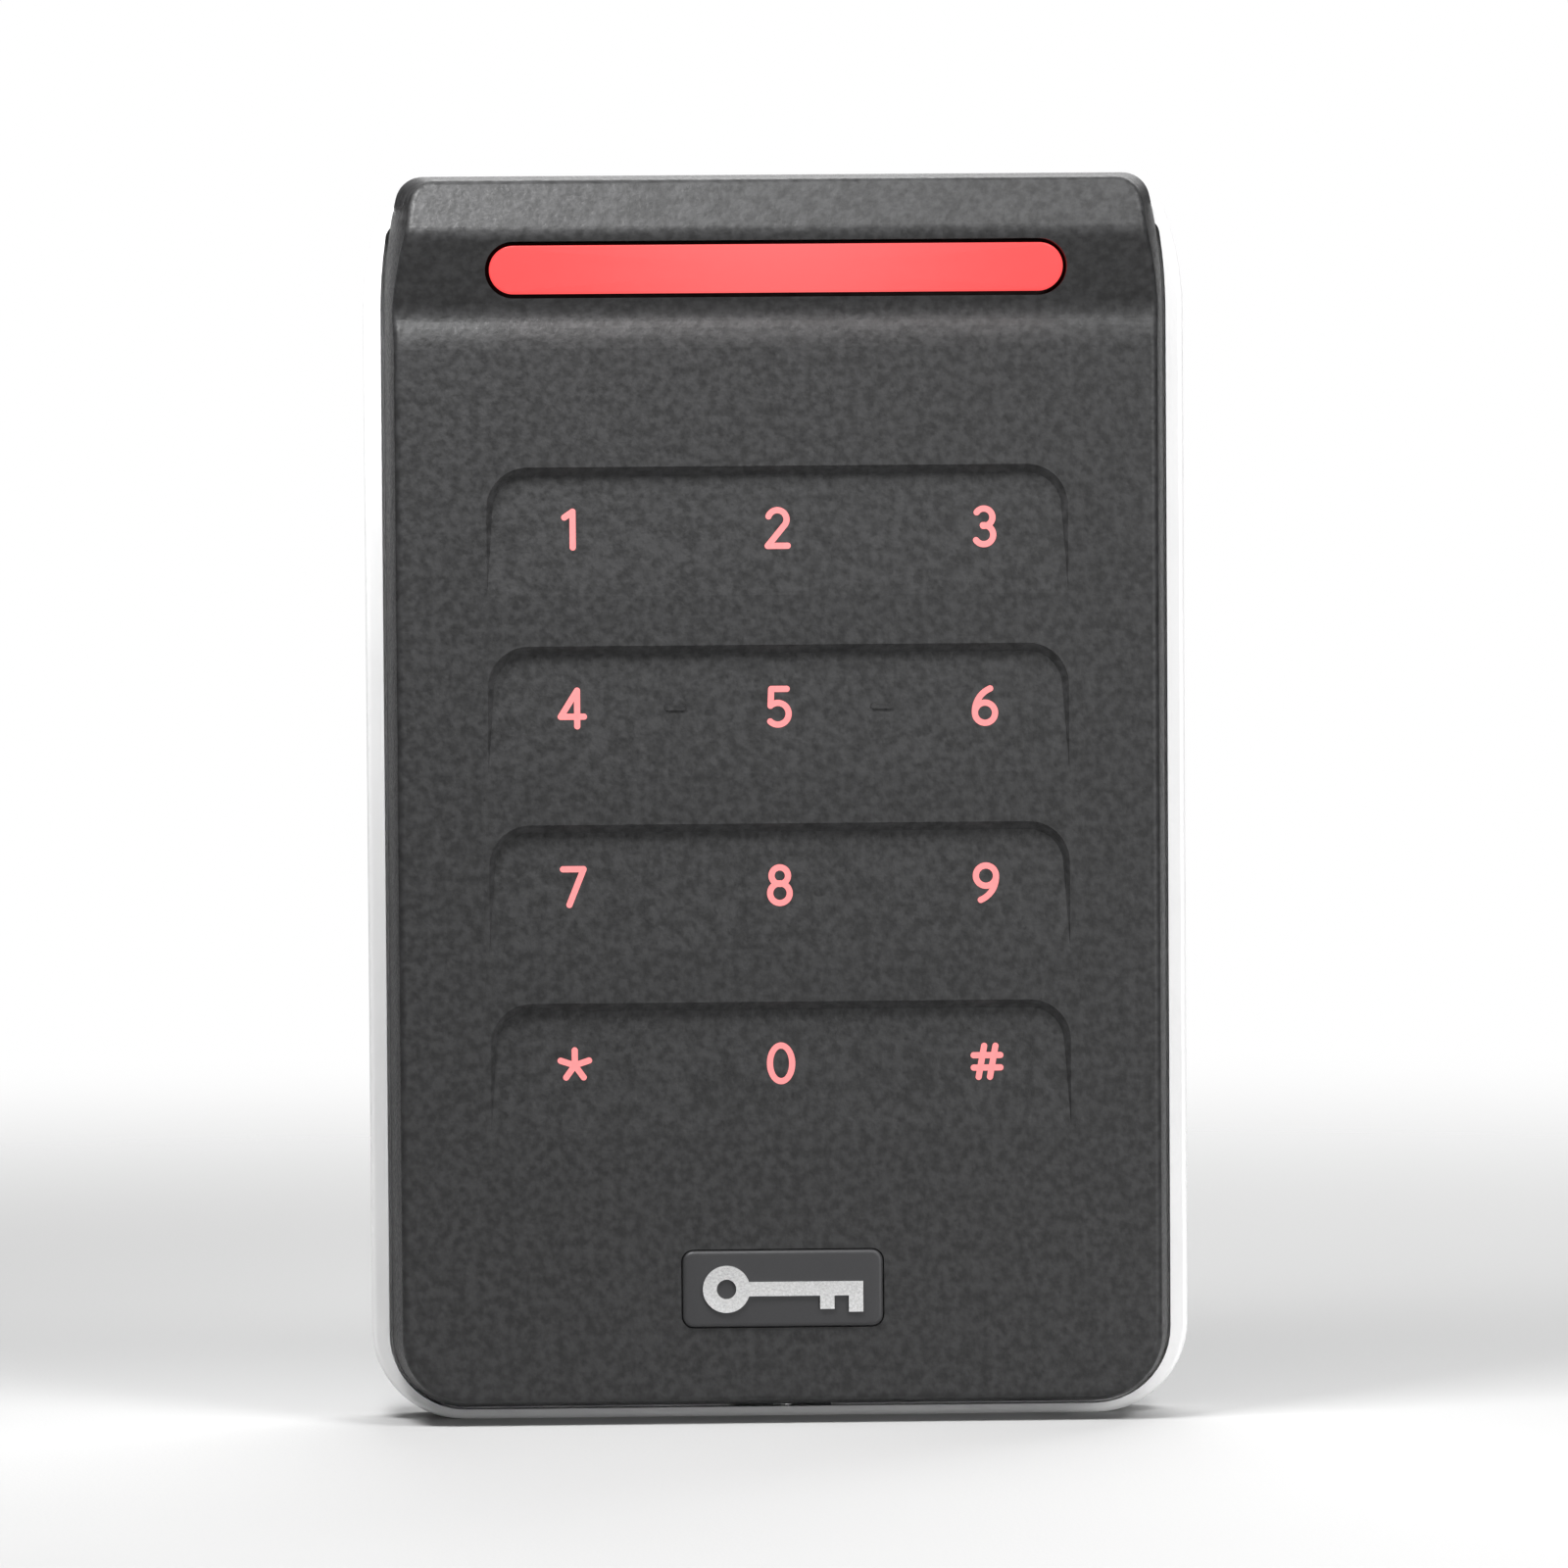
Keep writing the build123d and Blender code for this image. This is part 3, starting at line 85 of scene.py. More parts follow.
# the light bar's shape and glow
CROWN_POWER = 2.4                     # the higher, the flatter the crown's middle
GLOW_MIDDLE = (1.0, 0.13, 0.13, 1.0)
GLOW_ENDS = (1.0, 0.075, 0.075, 1.0)
GLOW_FADE = (2 * MM, 28 * MM)         # from the bar's middle, where its colour turns to the ends'
GLOW_DEPTH = (15.2 * MM, 15.8 * MM)   # out from the wall; nearer it, the lens's walls and flange get no glow and a near-black colour, painted shade of the slot and the cover's cavity
# painted shade: near-black colour put on the red lens plastic where it lies deep in the slot and
# the cavity
PAINTED_SLOT_SHADE = (0.004, 0.001, 0.001, 1.0)
BLACK = (0.0, 0.0, 0.0, 1.0)
WHITE = (1.0, 1.0, 1.0, 1.0)

# the view and the floor, in metres
VIEW_CENTRE = Vector((0.67 * MM, -10.0 * MM, 1.34 * MM))
FLOOR_RADIUS = 0.9
FLOOR_FADE = (0.12, 0.45)             # from the reader's axis, where the floor turns clear

# meshes
WELD = 1e-7                           # points nearer to each other than this are merged
SHARP_EDGE = math.radians(40)


# ---------------------------------------------------------------- shader maths
class Wire:
    """One output socket of a finish's node tree, so that shader maths reads as arithmetic."""

    def __init__(self, finish, socket):
        self.finish = finish
        self.socket = socket

    def __add__(self, other):
        return self.finish.maths("ADD", self, other)

    def __radd__(self, other):
        return self.finish.maths("ADD", other, self)

    def __rsub__(self, other):
        return self.finish.maths("SUBTRACT", other, self)

    def __mul__(self, other):
        return self.finish.maths("MULTIPLY", self, other)

    def __pow__(self, other):
        return self.finish.maths("POWER", self, other)

    def __abs__(self):
        return self.finish.maths("ABSOLUTE", self)


def pick(sockets, name):
    """The switched-on socket of that name, or the first one that is switched on."""
    live = [socket for socket in sockets if socket.enabled]
    return live[0] if name is None else next(s for s in live if s.name == name)


class Finish:
    """A material being built: nodes are added one by one, and surface() ends it."""

    def __init__(self, name):
        self.material = bpy.data.materials.new(name)
        self.material.use_nodes = True
        self.tree = self.material.node_tree
        self.tree.nodes.clear()

    def add(self, kind, settings=None, inputs=None, output=None):
        """Adds a node: its settings first, then the values or links of its sockets."""
        node = self.tree.nodes.new(kind)
        for key, value in (settings or {}).items():
            setattr(node, key, value)
        for key, value in (inputs or {}).items():
            socket = node.inputs[key] if isinstance(key, int) else pick(node.inputs, key)
            if isinstance(value, Wire):
                self.tree.links.new(value.socket, socket)
            else:
                socket.default_value = value
        return Wire(self, pick(node.outputs, output)) if node.outputs else None

    def maths(self, operation, *values):
        """One Math node."""
        return self.add("ShaderNodeMath", {"operation": operation}, dict(enumerate(values)))

    def where(self):
        """Object coordinates, in metres."""
        return self.add("ShaderNodeTexCoord", output="Object")

    def axis(self, name, vector=None):
        """One component of a vector, the object coordinates unless another is given."""
        vector = vector or self.where()
        return self.add("ShaderNodeSeparateXYZ", inputs={"Vector": vector}, output=name)

    def noise(self, pitch, detail=2.0, rough=0.5, stretch=(1, 1, 1)):
        """Noise with features about one pitch apart, drawn out along an axis by stretch."""
        scale = tuple(1.0 / (pitch * s) for s in stretch)
        place = self.add(
            "ShaderNodeMapping", {"vector_type": "POINT"}, {"Vector": self.where(), "Scale": scale}
        )
        sockets = {"Vector": place, "Scale": 1.0, "Detail": detail, "Roughness": rough}
        return self.add("ShaderNodeTexNoise", inputs=sockets, output="Fac")

    def cells(self, pitch, feature="F1", output="Distance"):
        """Distance to the nearest of points scattered about one pitch apart."""
        sockets = {"Vector": self.where(), "Scale": 1.0 / pitch}
        return self.add("ShaderNodeTexVoronoi", {"feature": feature}, sockets, output)

    def span(self, value, low, high, to_low=0.0, to_high=1.0):
        """A value's way from low to high, as a smooth step between two others."""
        names = ("Value", "From Min", "From Max", "To Min", "To Max")
        sockets = dict(zip(names, (value, low, high, to_low, to_high)))
        return self.add("ShaderNodeMapRange", {"interpolation_type": "SMOOTHSTEP"}, sockets)

    def mix(self, factor, first, second):
        """Blend of two colours."""
        sockets = {"Factor": factor, "A": first, "B": second}
        return self.add("ShaderNodeMix", {"data_type": "RGBA"}, sockets)

    def bump(self, height, depth):
        """Normal raised by a height of 0 to 1 that stands for a depth in metres."""
        sockets = {"Height": height, "Distance": depth, "Strength": 1.0}
        return self.add("ShaderNodeBump", inputs=sockets)

    def surface(self, **sockets):
        """Ends the material in a Principled surface. Underscores stand for spaces."""
        named = {key.replace("_", " "): value for key, value in sockets.items()}
        shader = self.add("ShaderNodeBsdfPrincipled", inputs=named)
        self.add("ShaderNodeOutputMaterial", inputs={"Surface": shader})
        return self.material


class Sky(Finish):
    """The studio's all-round light, built from nodes in the same way."""

    def __init__(self, name):
        self.world = bpy.data.worlds.new(name)
        self.world.use_nodes = True
        self.tree = self.world.node_tree
        self.tree.nodes.clear()


def shade(colour, factor):
    """A colour made darker or lighter."""
    return tuple(min(1.0, c * factor) for c in colour[:3]) + (1.0,)


def coat_node(name, material):
    """Gives a CAD node its finish."""
    slots = nodes[name].data.materials
    for index in range(len(slots)):
        slots[index] = material


# ---------------------------------------------------------------- finishes
def grained_plastic(name, colour, grain, depth, rough=0.5, level=0.35):
    """Moulded plastic with a spark-eroded grain, and a slight mottle where gloss varies."""
    f = Finish(name)
    pits = f.cells(grain, "SMOOTH_F1")
    fine = f.noise(grain * 0.6, 3.0, 0.6)
    height = pits * 0.7 + fine * 0.6
    mottle = f.noise(grain * 1.6, 2.0)
    tone = f.mix(f.span(mottle, 0.3, 0.7), shade(colour, 0.66), shade(colour, 1.42))
    return f.surface(
        Base_Color=tone,
        Roughness=f.span(fine, 0.3, 0.7, rough - 0.07, rough + 0.1),
        Normal=f.bump(height, depth),
        Specular_IOR_Level=level,
    )


def smooth_plastic(name, colour, rough=0.4, level=0.4):
    """Plain moulded plastic: faint flow mottle and a very fine orange peel."""
    f = Finish(name)
    flow = f.noise(4 * MM, 2.0)
    peel = f.noise(0.5 * MM, 1.0)
    return f.surface(
        Base_Color=f.mix(flow, shade(colour, 0.9), shade(colour, 1.1)),
        Roughness=f.span(peel, 0.2, 0.8, rough - 0.05, rough + 0.07),
        Normal=f.bump(peel, 0.01 * MM),
        Specular_IOR_Level=level,
    )


def satin_metal(name, colour, rough=0.32, pitch=0.25 * MM, depth=0.004 * MM, bare=1.0):
    """Satin metal, or silver paint where bare is lower: fine blasted texture, with cloudy gloss."""
    f = Finish(name)
    fine = f.noise(pitch, 2.0, 0.6)
    cloud = f.noise(9 * MM, 3.0)
    return f.surface(
        Base_Color=f.mix(cloud, shade(colour, 0.94), shade(colour, 1.04)),
        Roughness=f.span(fine, 0.2, 0.8, rough - 0.06, rough + 0.08),
        Normal=f.bump(fine, depth),
        Metallic=bare,
    )


def zinc_plate(name, colour):
    """Zinc-plated sheet: patches of different grey, rolling lines and dulled spots."""
    f = Finish(name)
    patch = f.cells(2.6 * MM, "F1", "Color")
    tint = f.axis("X", patch)
    lines = f.noise(0.3 * MM, 2.0, 0.5, (1, 1, 30))
    dull = f.span(f.noise(7 * MM, 4.0), 0.45, 0.7)
    return f.surface(
        Base_Color=f.mix(tint, shade(colour, 0.8), shade(colour, 1.12)),
        Roughness=0.3 + tint * 0.12 + dull * 0.2,
        Normal=f.bump(lines * 0.5 + tint * 0.5, 0.006 * MM),
        Metallic=1.0,
    )


def circuit_board(name, colour):
    """Solder-mask lacquer over copper tracks, which show as slightly raised, lighter lines."""
    f = Finish(name)
    weave = f.noise(0.35 * MM, 1.0)
    track = f.span(f.cells(2.2 * MM, "DISTANCE_TO_EDGE"), 0.05, 0.09, 1.0, 0.0)
    tone = f.mix(track * 0.5 + weave * 0.2, shade(colour, 0.85), shade(colour, 1.7))
    return f.surface(
        Base_Color=tone,
        Roughness=f.span(weave, 0.3, 0.7, 0.25, 0.4),
        Normal=f.bump(track + weave * 0.2, 0.02 * MM),
    )


# ---------------------------------------------------------------- carried profiles
def rounded_path(half_x, half_z, corner, count):
    """Path round a rectangle with rounded corners, as the corner arcs' centres and directions.

    A point of the path that is inset by i is its centre plus its direction times (corner - i).
    Each corner's arc has count points, and the straight sides run between two arcs.
    """
    turn = np.linspace(0.0, 0.5 * np.pi, count)
    angles = np.concatenate([turn + quarter * 0.5 * np.pi for quarter in range(4)])
    corners = np.array([(1, 1), (-1, 1), (-1, -1), (1, -1)]) * (half_x - corner, half_z - corner)
    directions = np.stack([np.cos(angles), np.sin(angles)], axis=-1)
    return np.repeat(corners, count, axis=0), directions


def carry(profile, path, corner, middle, lean=None):
    """Grid of points: a profile carried round a rounded path.

    Each row of the profile is (share, inset, depth, leaning). The point is the path inset by
    that much, drawn in towards the middle until only that share of its distance is left. Its
    depth is the row's, plus leaning times lean(z), the slope that the piece follows.
    """
    centres, directions = path
    share, inset, depth, leaning = (column[:, None] for column in np.array(profile).T)
    flat = centres[None] + directions[None] * (corner - inset)[..., None]
    flat = flat * share[..., None]
    x = middle.x + flat[..., 0]
    z = middle.z + flat[..., 1]
    y = -depth if lean is None else -(depth + lean(z) * leaning)
    return np.stack([x, np.broadcast_to(y, x.shape), z], axis=-1)


def carried_piece(name, grid, node, body, material):
    """Makes a closed piece from a grid whose rows run round it; its two poles are merged."""
    rows, columns = grid.shape[:2]
    index = np.arange(rows * columns).reshape(rows, columns)
    beside = np.roll(index, -1, axis=1)
    quads = np.stack([index[:-1], beside[:-1], beside[1:], index[1:]], axis=-1)
    mesh = bpy.data.meshes.new(name)
    mesh.from_pydata(grid.reshape(-1, 3).tolist(), [], quads.reshape(-1, 4).tolist())
    shape = bmesh.new()
    shape.from_mesh(mesh)
    bmesh.ops.remove_doubles(shape, verts=shape.verts, dist=WELD)
    bmesh.ops.dissolve_degenerate(shape, edges=shape.edges, dist=WELD)
    bmesh.ops.recalc_face_normals(shape, faces=shape.faces)
    shape.to_mesh(mesh)
    shape.free()
    mesh.shade_smooth()
    mesh.set_sharp_from_angle(angle=SHARP_EDGE)
    mesh.materials.append(material)
    piece = bpy.data.objects.new(name, mesh)
    bpy.context.scene.collection.objects.link(piece)
    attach(piece, body)
    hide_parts(node)


# ---------------------------------------------------------------- settings
class PieceSizes(bpy.types.PropertyGroup):
    """Sizes of the pieces that are worked out here."""

    bar_crown: bpy.props.FloatProperty(
        name="Bar crown",
        description="How far the middle of the light bar stands above its rim",
        default=0.3 * MM,
        unit="LENGTH",
    )
    bar_rim: bpy.props.FloatProperty(
        name="Bar rim",
        description="Rounding of the light bar's edge",
        default=0.25 * MM,
        unit="LENGTH",
    )
    badge_bevel: bpy.props.FloatProperty(
        name="Badge bevel",
        description="Width of the rounded bevel round the badge",
        default=0.45 * MM,
        unit="LENGTH",
    )


class StageSettings(bpy.types.PropertyGroup):
    """Camera and studio."""

    azimuth: bpy.props.FloatProperty(
        name="Azimuth",
        description="Camera's turn round the reader; negative is to its left",
        default=math.radians(-2.0),
        subtype="ANGLE",
    )
    elevation: bpy.props.FloatProperty(
        name="Elevation",
        description="Camera's height above the horizon, as an angle",
        default=math.radians(3.0),
        subtype="ANGLE",
    )
    roll: bpy.props.FloatProperty(
        name="Roll",
        description="Camera's turn about its own axis",
        default=math.radians(-0.4),
        subtype="ANGLE",
    )
    distance: bpy.props.FloatProperty(
        name="Distance",
        description="From the camera to the reader",
        default=1.0,
        unit="LENGTH",
    )
    view_width: bpy.props.FloatProperty(
        name="View width",
        description="Width of the view at the reader",
        default=153.1 * MM,
        unit="LENGTH",
    )
    fill: bpy.props.FloatProperty(
        name="Fill",
        description="Strength of the studio's all-round light",
        default=0.01,
        min=0.0,
    )
    floor_colour: bpy.props.FloatVectorProperty(
        name="Floor colour",
        description="Colour of the studio floor",
        default=(0.56, 0.56, 0.56),
        subtype="COLOR",
        size=3,
        min=0.0,
        max=1.0,
    )


class FinishColours(bpy.types.PropertyGroup):
    """Colours of the reader's finishes."""

    cover: bpy.props.FloatVectorProperty(
        name="Cover",
        description="Grained plastic of the front cover",
        default=(0.022, 0.022, 0.0226),
        subtype="COLOR",
        size=3,
        min=0.0,
        max=1.0,
    )
    trim: bpy.props.FloatVectorProperty(
        name="Trim",
        description="Satin silver paint of the ring round the cover",
        default=(0.9, 0.9, 0.9),
        subtype="COLOR",
        size=3,
        min=0.0,
        max=1.0,
    )
    light: bpy.props.FloatVectorProperty(
        name="Light bar",
        description="Plastic of the light bar, under its glow",
        default=(1.0, 0.16, 0.16),
        subtype="COLOR",
        size=3,
        min=0.0,
        max=1.0,
    )
    legend: bpy.props.FloatVectorProperty(
        name="Legends",
        description="Colour of the lit legends",
        default=(0.76, 0.21, 0.21),
        subtype="COLOR",
        size=3,
        min=0.0,
        max=1.0,
    )


def look_from(azimuth, elevation):
    """Unit vector from the reader towards the camera."""
    flat = math.cos(elevation)
    return Vector((math.sin(azimuth) * flat, -math.cos(azimuth) * flat, math.sin(elevation)))


# name, place, point aimed at, size, power in watts
LIGHTS = (
    ("key_left", (-0.08, -0.09, 0.155), (-0.01, -0.015, 0.02), (0.09, 0.06), 0.52),
    ("key_middle", (0.01, -0.09, 0.155), (0.0, -0.015, 0.02), (0.09, 0.06), 0.08),
    ("high_right", (0.20, -0.22, 0.34), (0.0, 0.0, 0.0), (0.14, 0.14), 1.0),
    ("front_right", (0.25, -0.35, 0.05), (0.0, 0.0, 0.0), (0.18, 0.18), 0.9),
    ("back_box", (0.15, 0.45, 0.45), (0.0, 0.0, -0.06), (0.6, 0.4), 4.0),
)


def soft_box(name, place, aim, size, power):
    """Rectangular studio light, turned towards a point."""
    light = bpy.data.lights.new(name, "AREA")
    light.shape = "RECTANGLE"
    light.size, light.size_y = size
    light.energy = power
    lamp = bpy.data.objects.new(name, light)
    bpy.context.scene.collection.objects.link(lamp)
    lamp.location = place
    lamp.rotation_mode = "QUATERNION"
    lamp.rotation_quaternion = (Vector(place) - Vector(aim)).to_track_quat("Z", "Y")


class READER_OT_stage(bpy.types.Operator):
    """Make the camera, the floor, the sky and the soft lights"""

    bl_idname = "reader.stage"
    bl_label = "Stage"

    def execute(self, context):
        stage = context.scene.reader_stage
        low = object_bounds()[0]
        towards = look_from(stage.azimuth, stage.elevation)
        camera = bpy.data.cameras.new("camera")
        camera.sensor_width = 36.0
        camera.lens = camera.sensor_width * stage.distance / stage.view_width
        camera.clip_start = 0.01
        eye = bpy.data.objects.new("camera", camera)
        context.scene.collection.objects.link(eye)
        eye.location = VIEW_CENTRE + towards * stage.distance
        eye.rotation_mode = "QUATERNION"
        turn = Quaternion((0, 0, 1), stage.roll)
        eye.rotation_quaternion = (-towards).to_track_quat("-Z", "Y") @ turn
        context.scene.camera = eye

        floor_mesh = bpy.data.meshes.new("floor")
        rings = np.linspace(0.0, 1.0, 24) ** 2 * FLOOR_RADIUS
        angles = np.linspace(0.0, 2 * np.pi, 97)
        sheet = np.stack(
            [
                np.outer(rings, np.cos(angles)),
                np.outer(rings, np.sin(angles)),
                np.full((len(rings), len(angles)), low.z),
            ],
            axis=-1,
        )
        rows, columns = sheet.shape[:2]
        index = np.arange(rows * columns).reshape(rows, columns)
        quads = np.stack(
            [index[:-1, :-1], index[1:, :-1], index[1:, 1:], index[:-1, 1:]], axis=-1
        )
        floor_mesh.from_pydata(sheet.reshape(-1, 3).tolist(), [], quads.reshape(-1, 4).tolist())
        floor = bpy.data.objects.new("floor", floor_mesh)
        context.scene.collection.objects.link(floor)
        f = Finish("floor_paper")
        fibre = f.noise(0.4 * MM, 3.0)
        colour = tuple(stage.floor_colour)
        shader = f.add(
            "ShaderNodeBsdfPrincipled",
            inputs={
                "Base Color": f.mix(fibre, shade(colour, 0.98), shade(colour, 1.02)),
                "Roughness": 0.7,
                "Normal": f.bump(fibre, 0.02 * MM),
                "Specular IOR Level": 0.2,
            },
        )
        x = f.axis("X")
        y = f.axis("Y")
        reach = (x * x + y * y) ** 0.5
        clear = f.add("ShaderNodeBsdfTransparent")
        faded = f.add(
            "ShaderNodeMixShader", inputs={0: f.span(reach, *FLOOR_FADE), 1: shader, 2: clear}
        )
        f.add("ShaderNodeOutputMaterial", inputs={"Surface": faded})
        floor_mesh.materials.append(f.material)
        floor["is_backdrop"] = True

        sky = Sky("studio")
        fill = sky.add("ShaderNodeBackground", inputs={"Color": WHITE, "Strength": stage.fill})
        seen = sky.add("ShaderNodeBackground", inputs={"Color": WHITE, "Strength": 1.0})
        direct = sky.add("ShaderNodeLightPath", output="Is Camera Ray")
        mixed = sky.add("ShaderNodeMixShader", inputs={0: direct, 1: fill, 2: seen})
        sky.add("ShaderNodeOutputWorld", inputs={"Surface": mixed})
        context.scene.world = sky.world

        for name, place, aim, size, power in LIGHTS:
            soft_box(name, place, aim, size, power)
        context.scene.view_settings.view_transform = "Standard"
        return {"FINISHED"}


class READER_OT_cover(bpy.types.Operator):
    """Finish the front cover in grained black plastic"""

    bl_idname = "reader.cover"
    bl_label = "Front cover"

    def execute(self, context):
        colour = tuple(context.scene.reader_colours.cover)
        coat_node("front_cover", grained_plastic("cover_grain", colour, 0.6 * MM, 0.055 * MM))
        return {"FINISHED"}


class READER_OT_trim(bpy.types.Operator):
    """Finish the trim in satin silver paint"""

    bl_idname = "reader.trim"
    bl_label = "Trim"

    def execute(self, context):
        colour = tuple(context.scene.reader_colours.trim)
        coat_node("trim_frame", satin_metal("trim_satin", colour, 0.45, bare=0.12))
        return {"FINISHED"}


class READER_OT_light_bar(bpy.types.Operator):
    """Light the light bar and build its crowned lens in place of the CAD one"""

    bl_idname = "reader.light_bar"
    bl_label = "Light bar"

    def execute(self, context):
        colour = tuple(context.scene.reader_colours.light)
        f = Finish("light_bar_lit")
        x = abs(f.axis("X"))
        haze = f.noise(1.5 * MM, 2.0)
        central = f.span(x + haze * 2 * MM, *GLOW_FADE, 1.0, 0.0)
        glow = f.mix(central, GLOW_ENDS, GLOW_MIDDLE)
        depth = 0.0 - f.axis("Y")
        proud = f.span(depth, *GLOW_DEPTH)
        lit = f.surface(
            # the lens's own plastic colour out front, painted shade (near black) on its deep walls
            # and flange
            Base_Color=f.mix(proud, PAINTED_SLOT_SHADE, shade(colour, 0.2)),
            Roughness=f.span(haze, 0.3, 0.7, 0.3, 0.4),
            Emission_Color=f.mix(proud, BLACK, glow),
            Emission_Strength=0.95,
            Normal=f.bump(haze, 0.01 * MM),
            Specular_IOR_Level=0.3,
        )
        low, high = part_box("light_bar_lens")
        half_x = (high.x - low.x) / 2 - FLANGE_MARGIN
        half_z = BAR_HEIGHT / 2
        middle = Vector(((low.x + high.x) / 2, 0.0, low.z + FLANGE_MARGIN + half_z))
        tip, back = -low.y, -high.y
        climb = math.tan(HOOD_SLOPE)
        top = middle.z + half_z

        def lean(z):
            """Depth of the hood's slope at a height."""
            return tip - (top - np.minimum(z, top)) * climb

        sizes = context.scene.reader_sizes
        rim = sizes.bar_rim
        shares = np.linspace(0.0, 1.0, 15)
        # across the front: a low crown, highest along the middle of the bar
        crown = [(t, rim, sizes.bar_crown * (1.0 - t**CROWN_POWER), 1.0) for t in shares]
        # round the edge: a quarter circle that ends one rim's width lower
        quarter = np.linspace(0.0, 0.5 * np.pi, 7)[1:]
        edge = [(1.0, rim * (1 - math.sin(a)), -rim * (1 - math.cos(a)), 1.0) for a in quarter]
        # down the wall to the flange, out round it, and across the back
        seat = back + FLANGE_THICKNESS
        behind = [
            (1.0, 0.0, seat, 0.0),
            (1.0, -FLANGE_MARGIN, seat, 0.0),
            (1.0, -FLANGE_MARGIN, back, 0.0),
            (0.5, -FLANGE_MARGIN, back, 0.0),
            (0.0, -FLANGE_MARGIN, back, 0.0),
        ]
        path = rounded_path(half_x, half_z, half_z, 17)
        grid = carry(crown + edge + behind, path, half_z, middle, lean)
        # the flange stops under the ceiling of the cover's cavity
        grid[..., 2] = np.minimum(grid[..., 2], high.z)
        carried_piece("light_bar", grid, "light_bar_lens", "reader", lit)
        return {"FINISHED"}


class READER_OT_legends(bpy.types.Operator):
    """Light the key legends"""

    bl_idname = "reader.legends"
    bl_label = "Key legends"

    def execute(self, context):
        colour = tuple(context.scene.reader_colours.legend)
        f = Finish("legend_lit")
        grain = f.noise(0.3 * MM, 2.0)
        lit = f.surface(
            Base_Color=shade(colour, 0.5),
            Roughness=f.span(grain, 0.3, 0.7, 0.35, 0.5),
            Emission_Color=f.mix(grain, shade(colour, 0.9), shade(colour, 1.08)),
            Emission_Strength=0.9,
        )
        coat_node("key_legends", lit)
        return {"FINISHED"}


class READER_OT_badge(bpy.types.Operator):
    """Finish the badge plate and its key emblem"""

    bl_idname = "reader.badge"
    bl_label = "Badge"

    def execute(self, context):
        satin = satin_metal("badge_satin", (0.05, 0.05, 0.052), 0.5, bare=0.5)
        low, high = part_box("badge_plate")
        half_x = (high.x - low.x) / 2
        half_z = (high.z - low.z) / 2
        front, back = -low.y, -high.y
        bevel = context.scene.reader_sizes.badge_bevel
        # flat face, then a quarter ellipse over the edge, the wall, and the flat back
        face = [(t, bevel, front, 0.0) for t in np.linspace(0.0, 1.0, 8)]
        quarter = np.linspace(0.0, 0.5 * np.pi, 9)[1:]
        drop = 0.8 * bevel
        edge = [
            (1.0, bevel * (1 - math.sin(a)), front - drop * (1 - math.cos(a)), 0.0)
            for a in quarter
        ]
        behind = [(1.0, 0.0, back, 0.0), (0.5, 0.0, back, 0.0), (0.0, 0.0, back, 0.0)]
        path = rounded_path(half_x, half_z, BADGE_CORNER, 12)
        grid = carry(face + edge + behind, path, BADGE_CORNER, (low + high) / 2)
        carried_piece("badge", grid, "badge_plate", "reader", satin)
        coat_node("badge_emblem", satin_metal("emblem_polish", (0.9, 0.9, 0.9), 0.16))
        return {"FINISHED"}


class READER_OT_back(bpy.types.Operator):
    """Finish the wall plate, the rear shell, the seal, the lock and the label"""

    bl_idname = "reader.back"
    bl_label = "Back and wall plate"

    def execute(self, context):
        shell = grained_plastic("shell_grain", (0.02, 0.02, 0.021), 0.45 * MM, 0.02 * MM)
        coat_node("rear_shell", shell)
        coat_node("mounting_plate", zinc_plate("plate_zinc", (0.62, 0.64, 0.66)))
        coat_node("perimeter_seal", smooth_plastic("seal_rubber", (0.015, 0.015, 0.015), 0.8, 0.2))
        coat_node("security_screw", satin_metal("lock_steel", (0.55, 0.55, 0.56), 0.25))
        coat_node("lock_insert", satin_metal("insert_brass", (0.75, 0.55, 0.25), 0.3))
        coat_node("housing_screws", satin_metal("housing_zinc", (0.6, 0.6, 0.62), 0.28))
        coat_node("rating_label", smooth_plastic("label_film", (0.62, 0.63, 0.64), 0.45))
        coat_node("tamper_window", smooth_plastic("clear_window", (0.5, 0.55, 0.6), 0.1, 0.6))
        return {"FINISHED"}


class READER_OT_terminals(bpy.types.Operator):
    """Finish the terminal plugs, their headers and pins"""

    bl_idname = "reader.terminals"
    bl_label = "Terminals"

    def execute(self, context):
        green = smooth_plastic("terminal_green", (0.03, 0.22, 0.08), 0.42)
        for side in ("left", "right"):
            coat_node(f"terminal_header_{side}", green)
            coat_node(f"terminal_plug_{side}", green)
            clamp = satin_metal(f"clamp_zinc_{side}", (0.6, 0.6, 0.62), 0.3)
            coat_node(f"plug_screws_{side}", clamp)
        coat_node("header_pins", satin_metal("pin_tin", (0.7, 0.7, 0.68), 0.3))
        return {"FINISHED"}


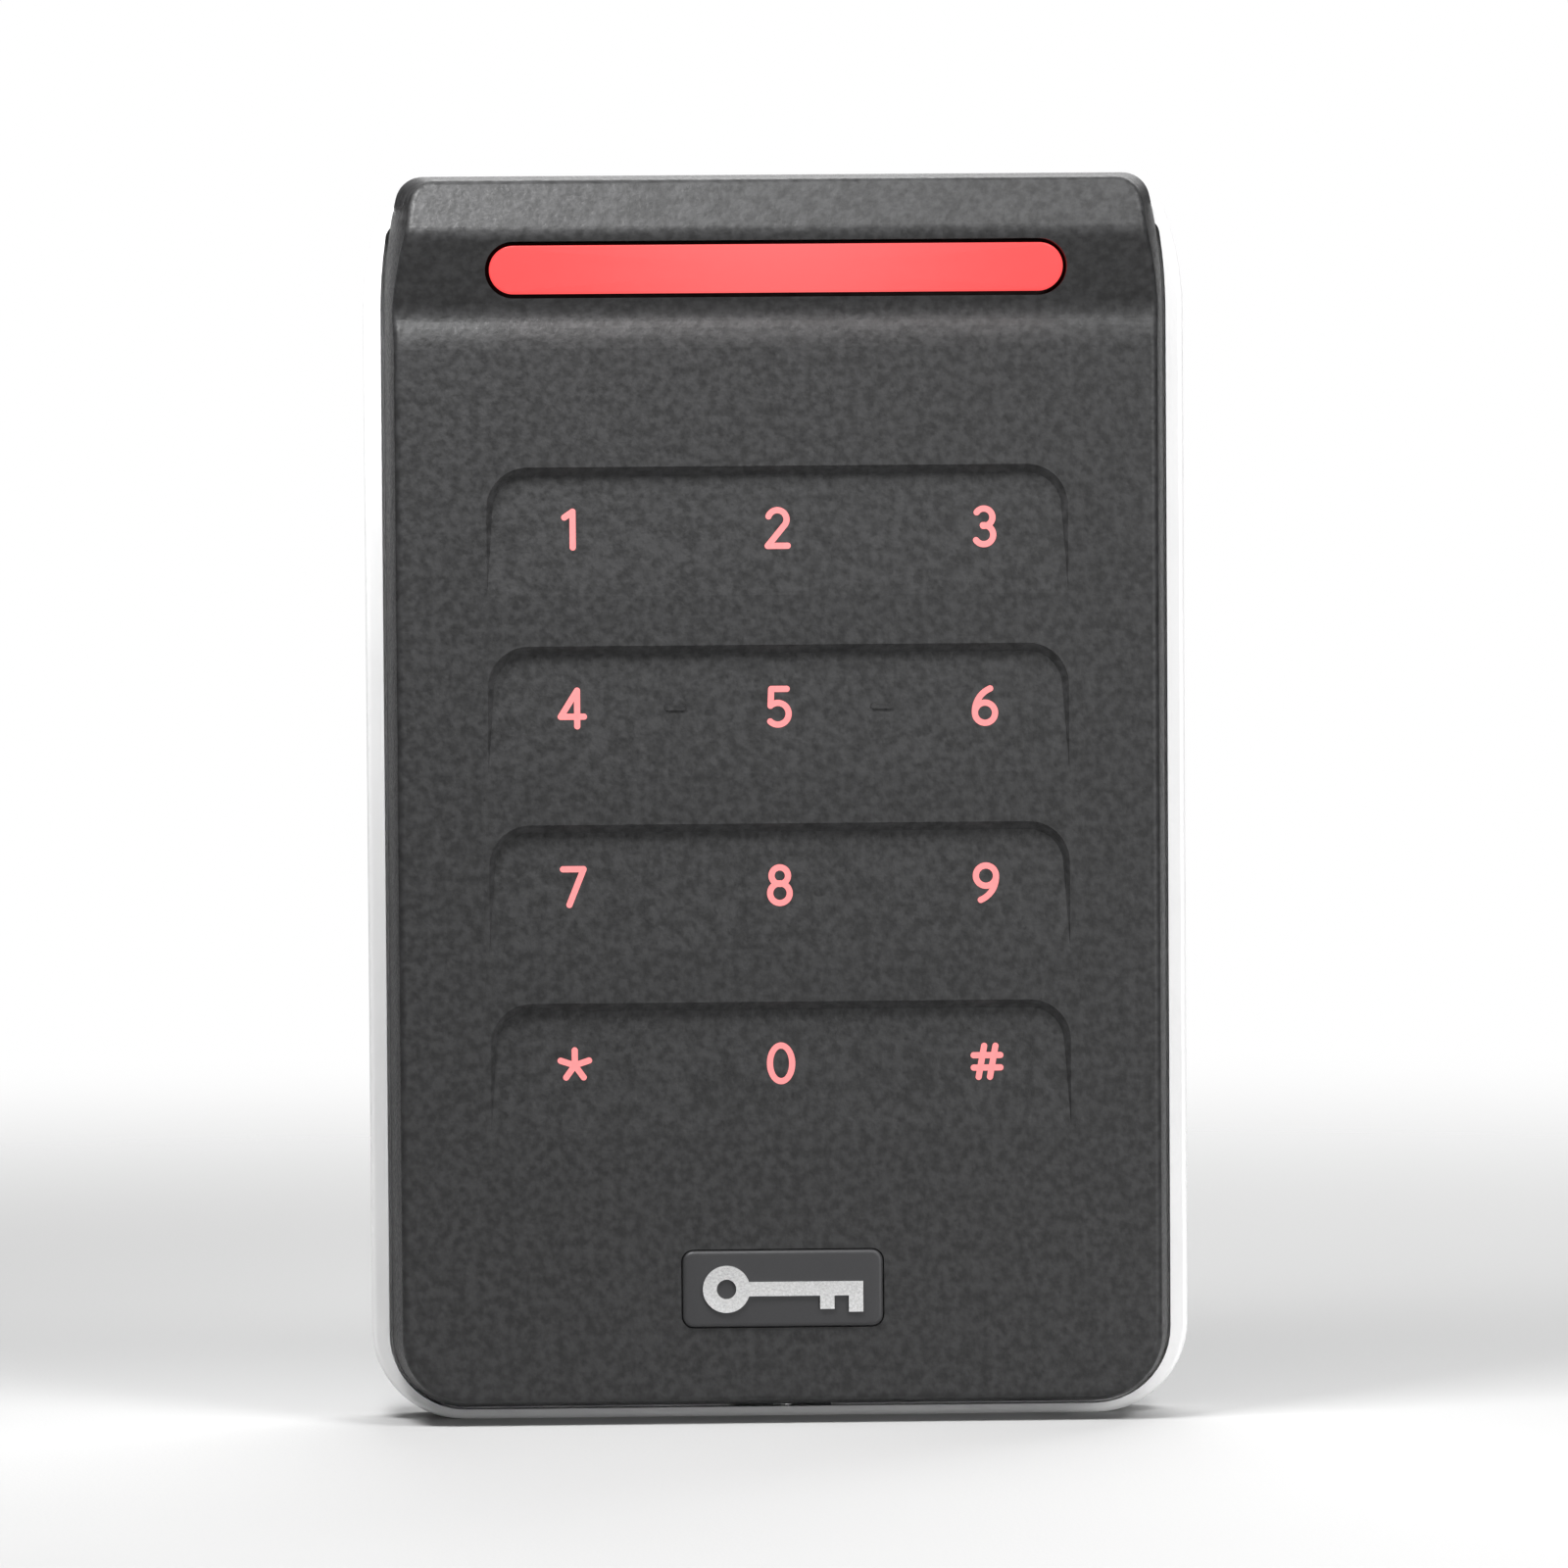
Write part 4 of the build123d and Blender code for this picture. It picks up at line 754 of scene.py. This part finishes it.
class READER_OT_boards(bpy.types.Operator):
    """Finish the boards and the parts that they carry"""

    bl_idname = "reader.boards"
    bl_label = "Boards"

    def execute(self, context):
        board = circuit_board("board_green", (0.01, 0.07, 0.03))
        for name in ("keypad_board", "main_board", "radio_module"):
            coat_node(name, board)
        copper = satin_metal("bare_copper", (0.75, 0.38, 0.22), 0.35)
        for name in ("touch_electrodes", "hf_antenna"):
            coat_node(name, copper)
        coat_node("lf_coil", satin_metal("coil_wire", (0.6, 0.25, 0.1), 0.3, 0.1 * MM))
        epoxy = smooth_plastic("chip_epoxy", (0.015, 0.015, 0.016), 0.5)
        for name in ("controller_chip", "secure_chip", "sounder", "tamper_sensor"):
            coat_node(name, epoxy)
        tin = satin_metal("shield_tin", (0.7, 0.7, 0.7), 0.25)
        for name in ("radio_shield", "crystal"):
            coat_node(name, tin)
        ferrite = smooth_plastic("ferrite_grey", (0.03, 0.03, 0.032), 0.6)
        for name in ("ferrite_sheet", "power_inductor"):
            coat_node(name, ferrite)
        coat_node("power_capacitors", satin_metal("capacitor_can", (0.75, 0.75, 0.76), 0.22))
        coat_node("board_connector", smooth_plastic("connector_cream", (0.5, 0.45, 0.33), 0.45))
        coat_node("board_screws", satin_metal("board_screw_zinc", (0.6, 0.6, 0.62), 0.3))
        coat_node("legend_diffuser", smooth_plastic("diffuser_film", (0.8, 0.8, 0.8), 0.6))
        coat_node("light_guide", smooth_plastic("guide_acrylic", (0.75, 0.75, 0.78), 0.1, 0.6))
        led = smooth_plastic("led_package", (0.8, 0.8, 0.74), 0.4)
        coat_node("status_leds", led)
        coat_node("backlight_leds", led)
        return {"FINISHED"}


class READER_PT_panel(bpy.types.Panel):
    """Steps of the card reader"""

    bl_label = "Card reader"
    bl_idname = "READER_PT_panel"
    bl_space_type = "VIEW_3D"
    bl_region_type = "UI"
    bl_category = "Card Reader"

    def draw(self, context):
        for step in STEPS:
            self.layout.operator(step.bl_idname)
        scene = context.scene
        for settings in (scene.reader_stage, scene.reader_colours, scene.reader_sizes):
            for key in settings.__annotations__:
                self.layout.prop(settings, key)


STEPS = (
    READER_OT_stage,
    READER_OT_cover,
    READER_OT_trim,
    READER_OT_light_bar,
    READER_OT_legends,
    READER_OT_badge,
    READER_OT_back,
    READER_OT_terminals,
    READER_OT_boards,
)
CLASSES = (StageSettings, FinishColours, PieceSizes, *STEPS, READER_PT_panel)


def register():
    """Adds the classes and their settings."""
    for cls in CLASSES:
        bpy.utils.register_class(cls)
    bpy.types.Scene.reader_stage = bpy.props.PointerProperty(type=StageSettings)
    bpy.types.Scene.reader_colours = bpy.props.PointerProperty(type=FinishColours)
    bpy.types.Scene.reader_sizes = bpy.props.PointerProperty(type=PieceSizes)


def unregister():
    """Takes them away again."""
    del bpy.types.Scene.reader_sizes
    del bpy.types.Scene.reader_colours
    del bpy.types.Scene.reader_stage
    for cls in reversed(CLASSES):
        bpy.utils.unregister_class(cls)


def main():
    """Builds everything in order."""
    register()
    for step in STEPS:
        group, name = step.bl_idname.split(".")
        getattr(getattr(bpy.ops, group), name)()


if __name__ == "__main__":
    main()
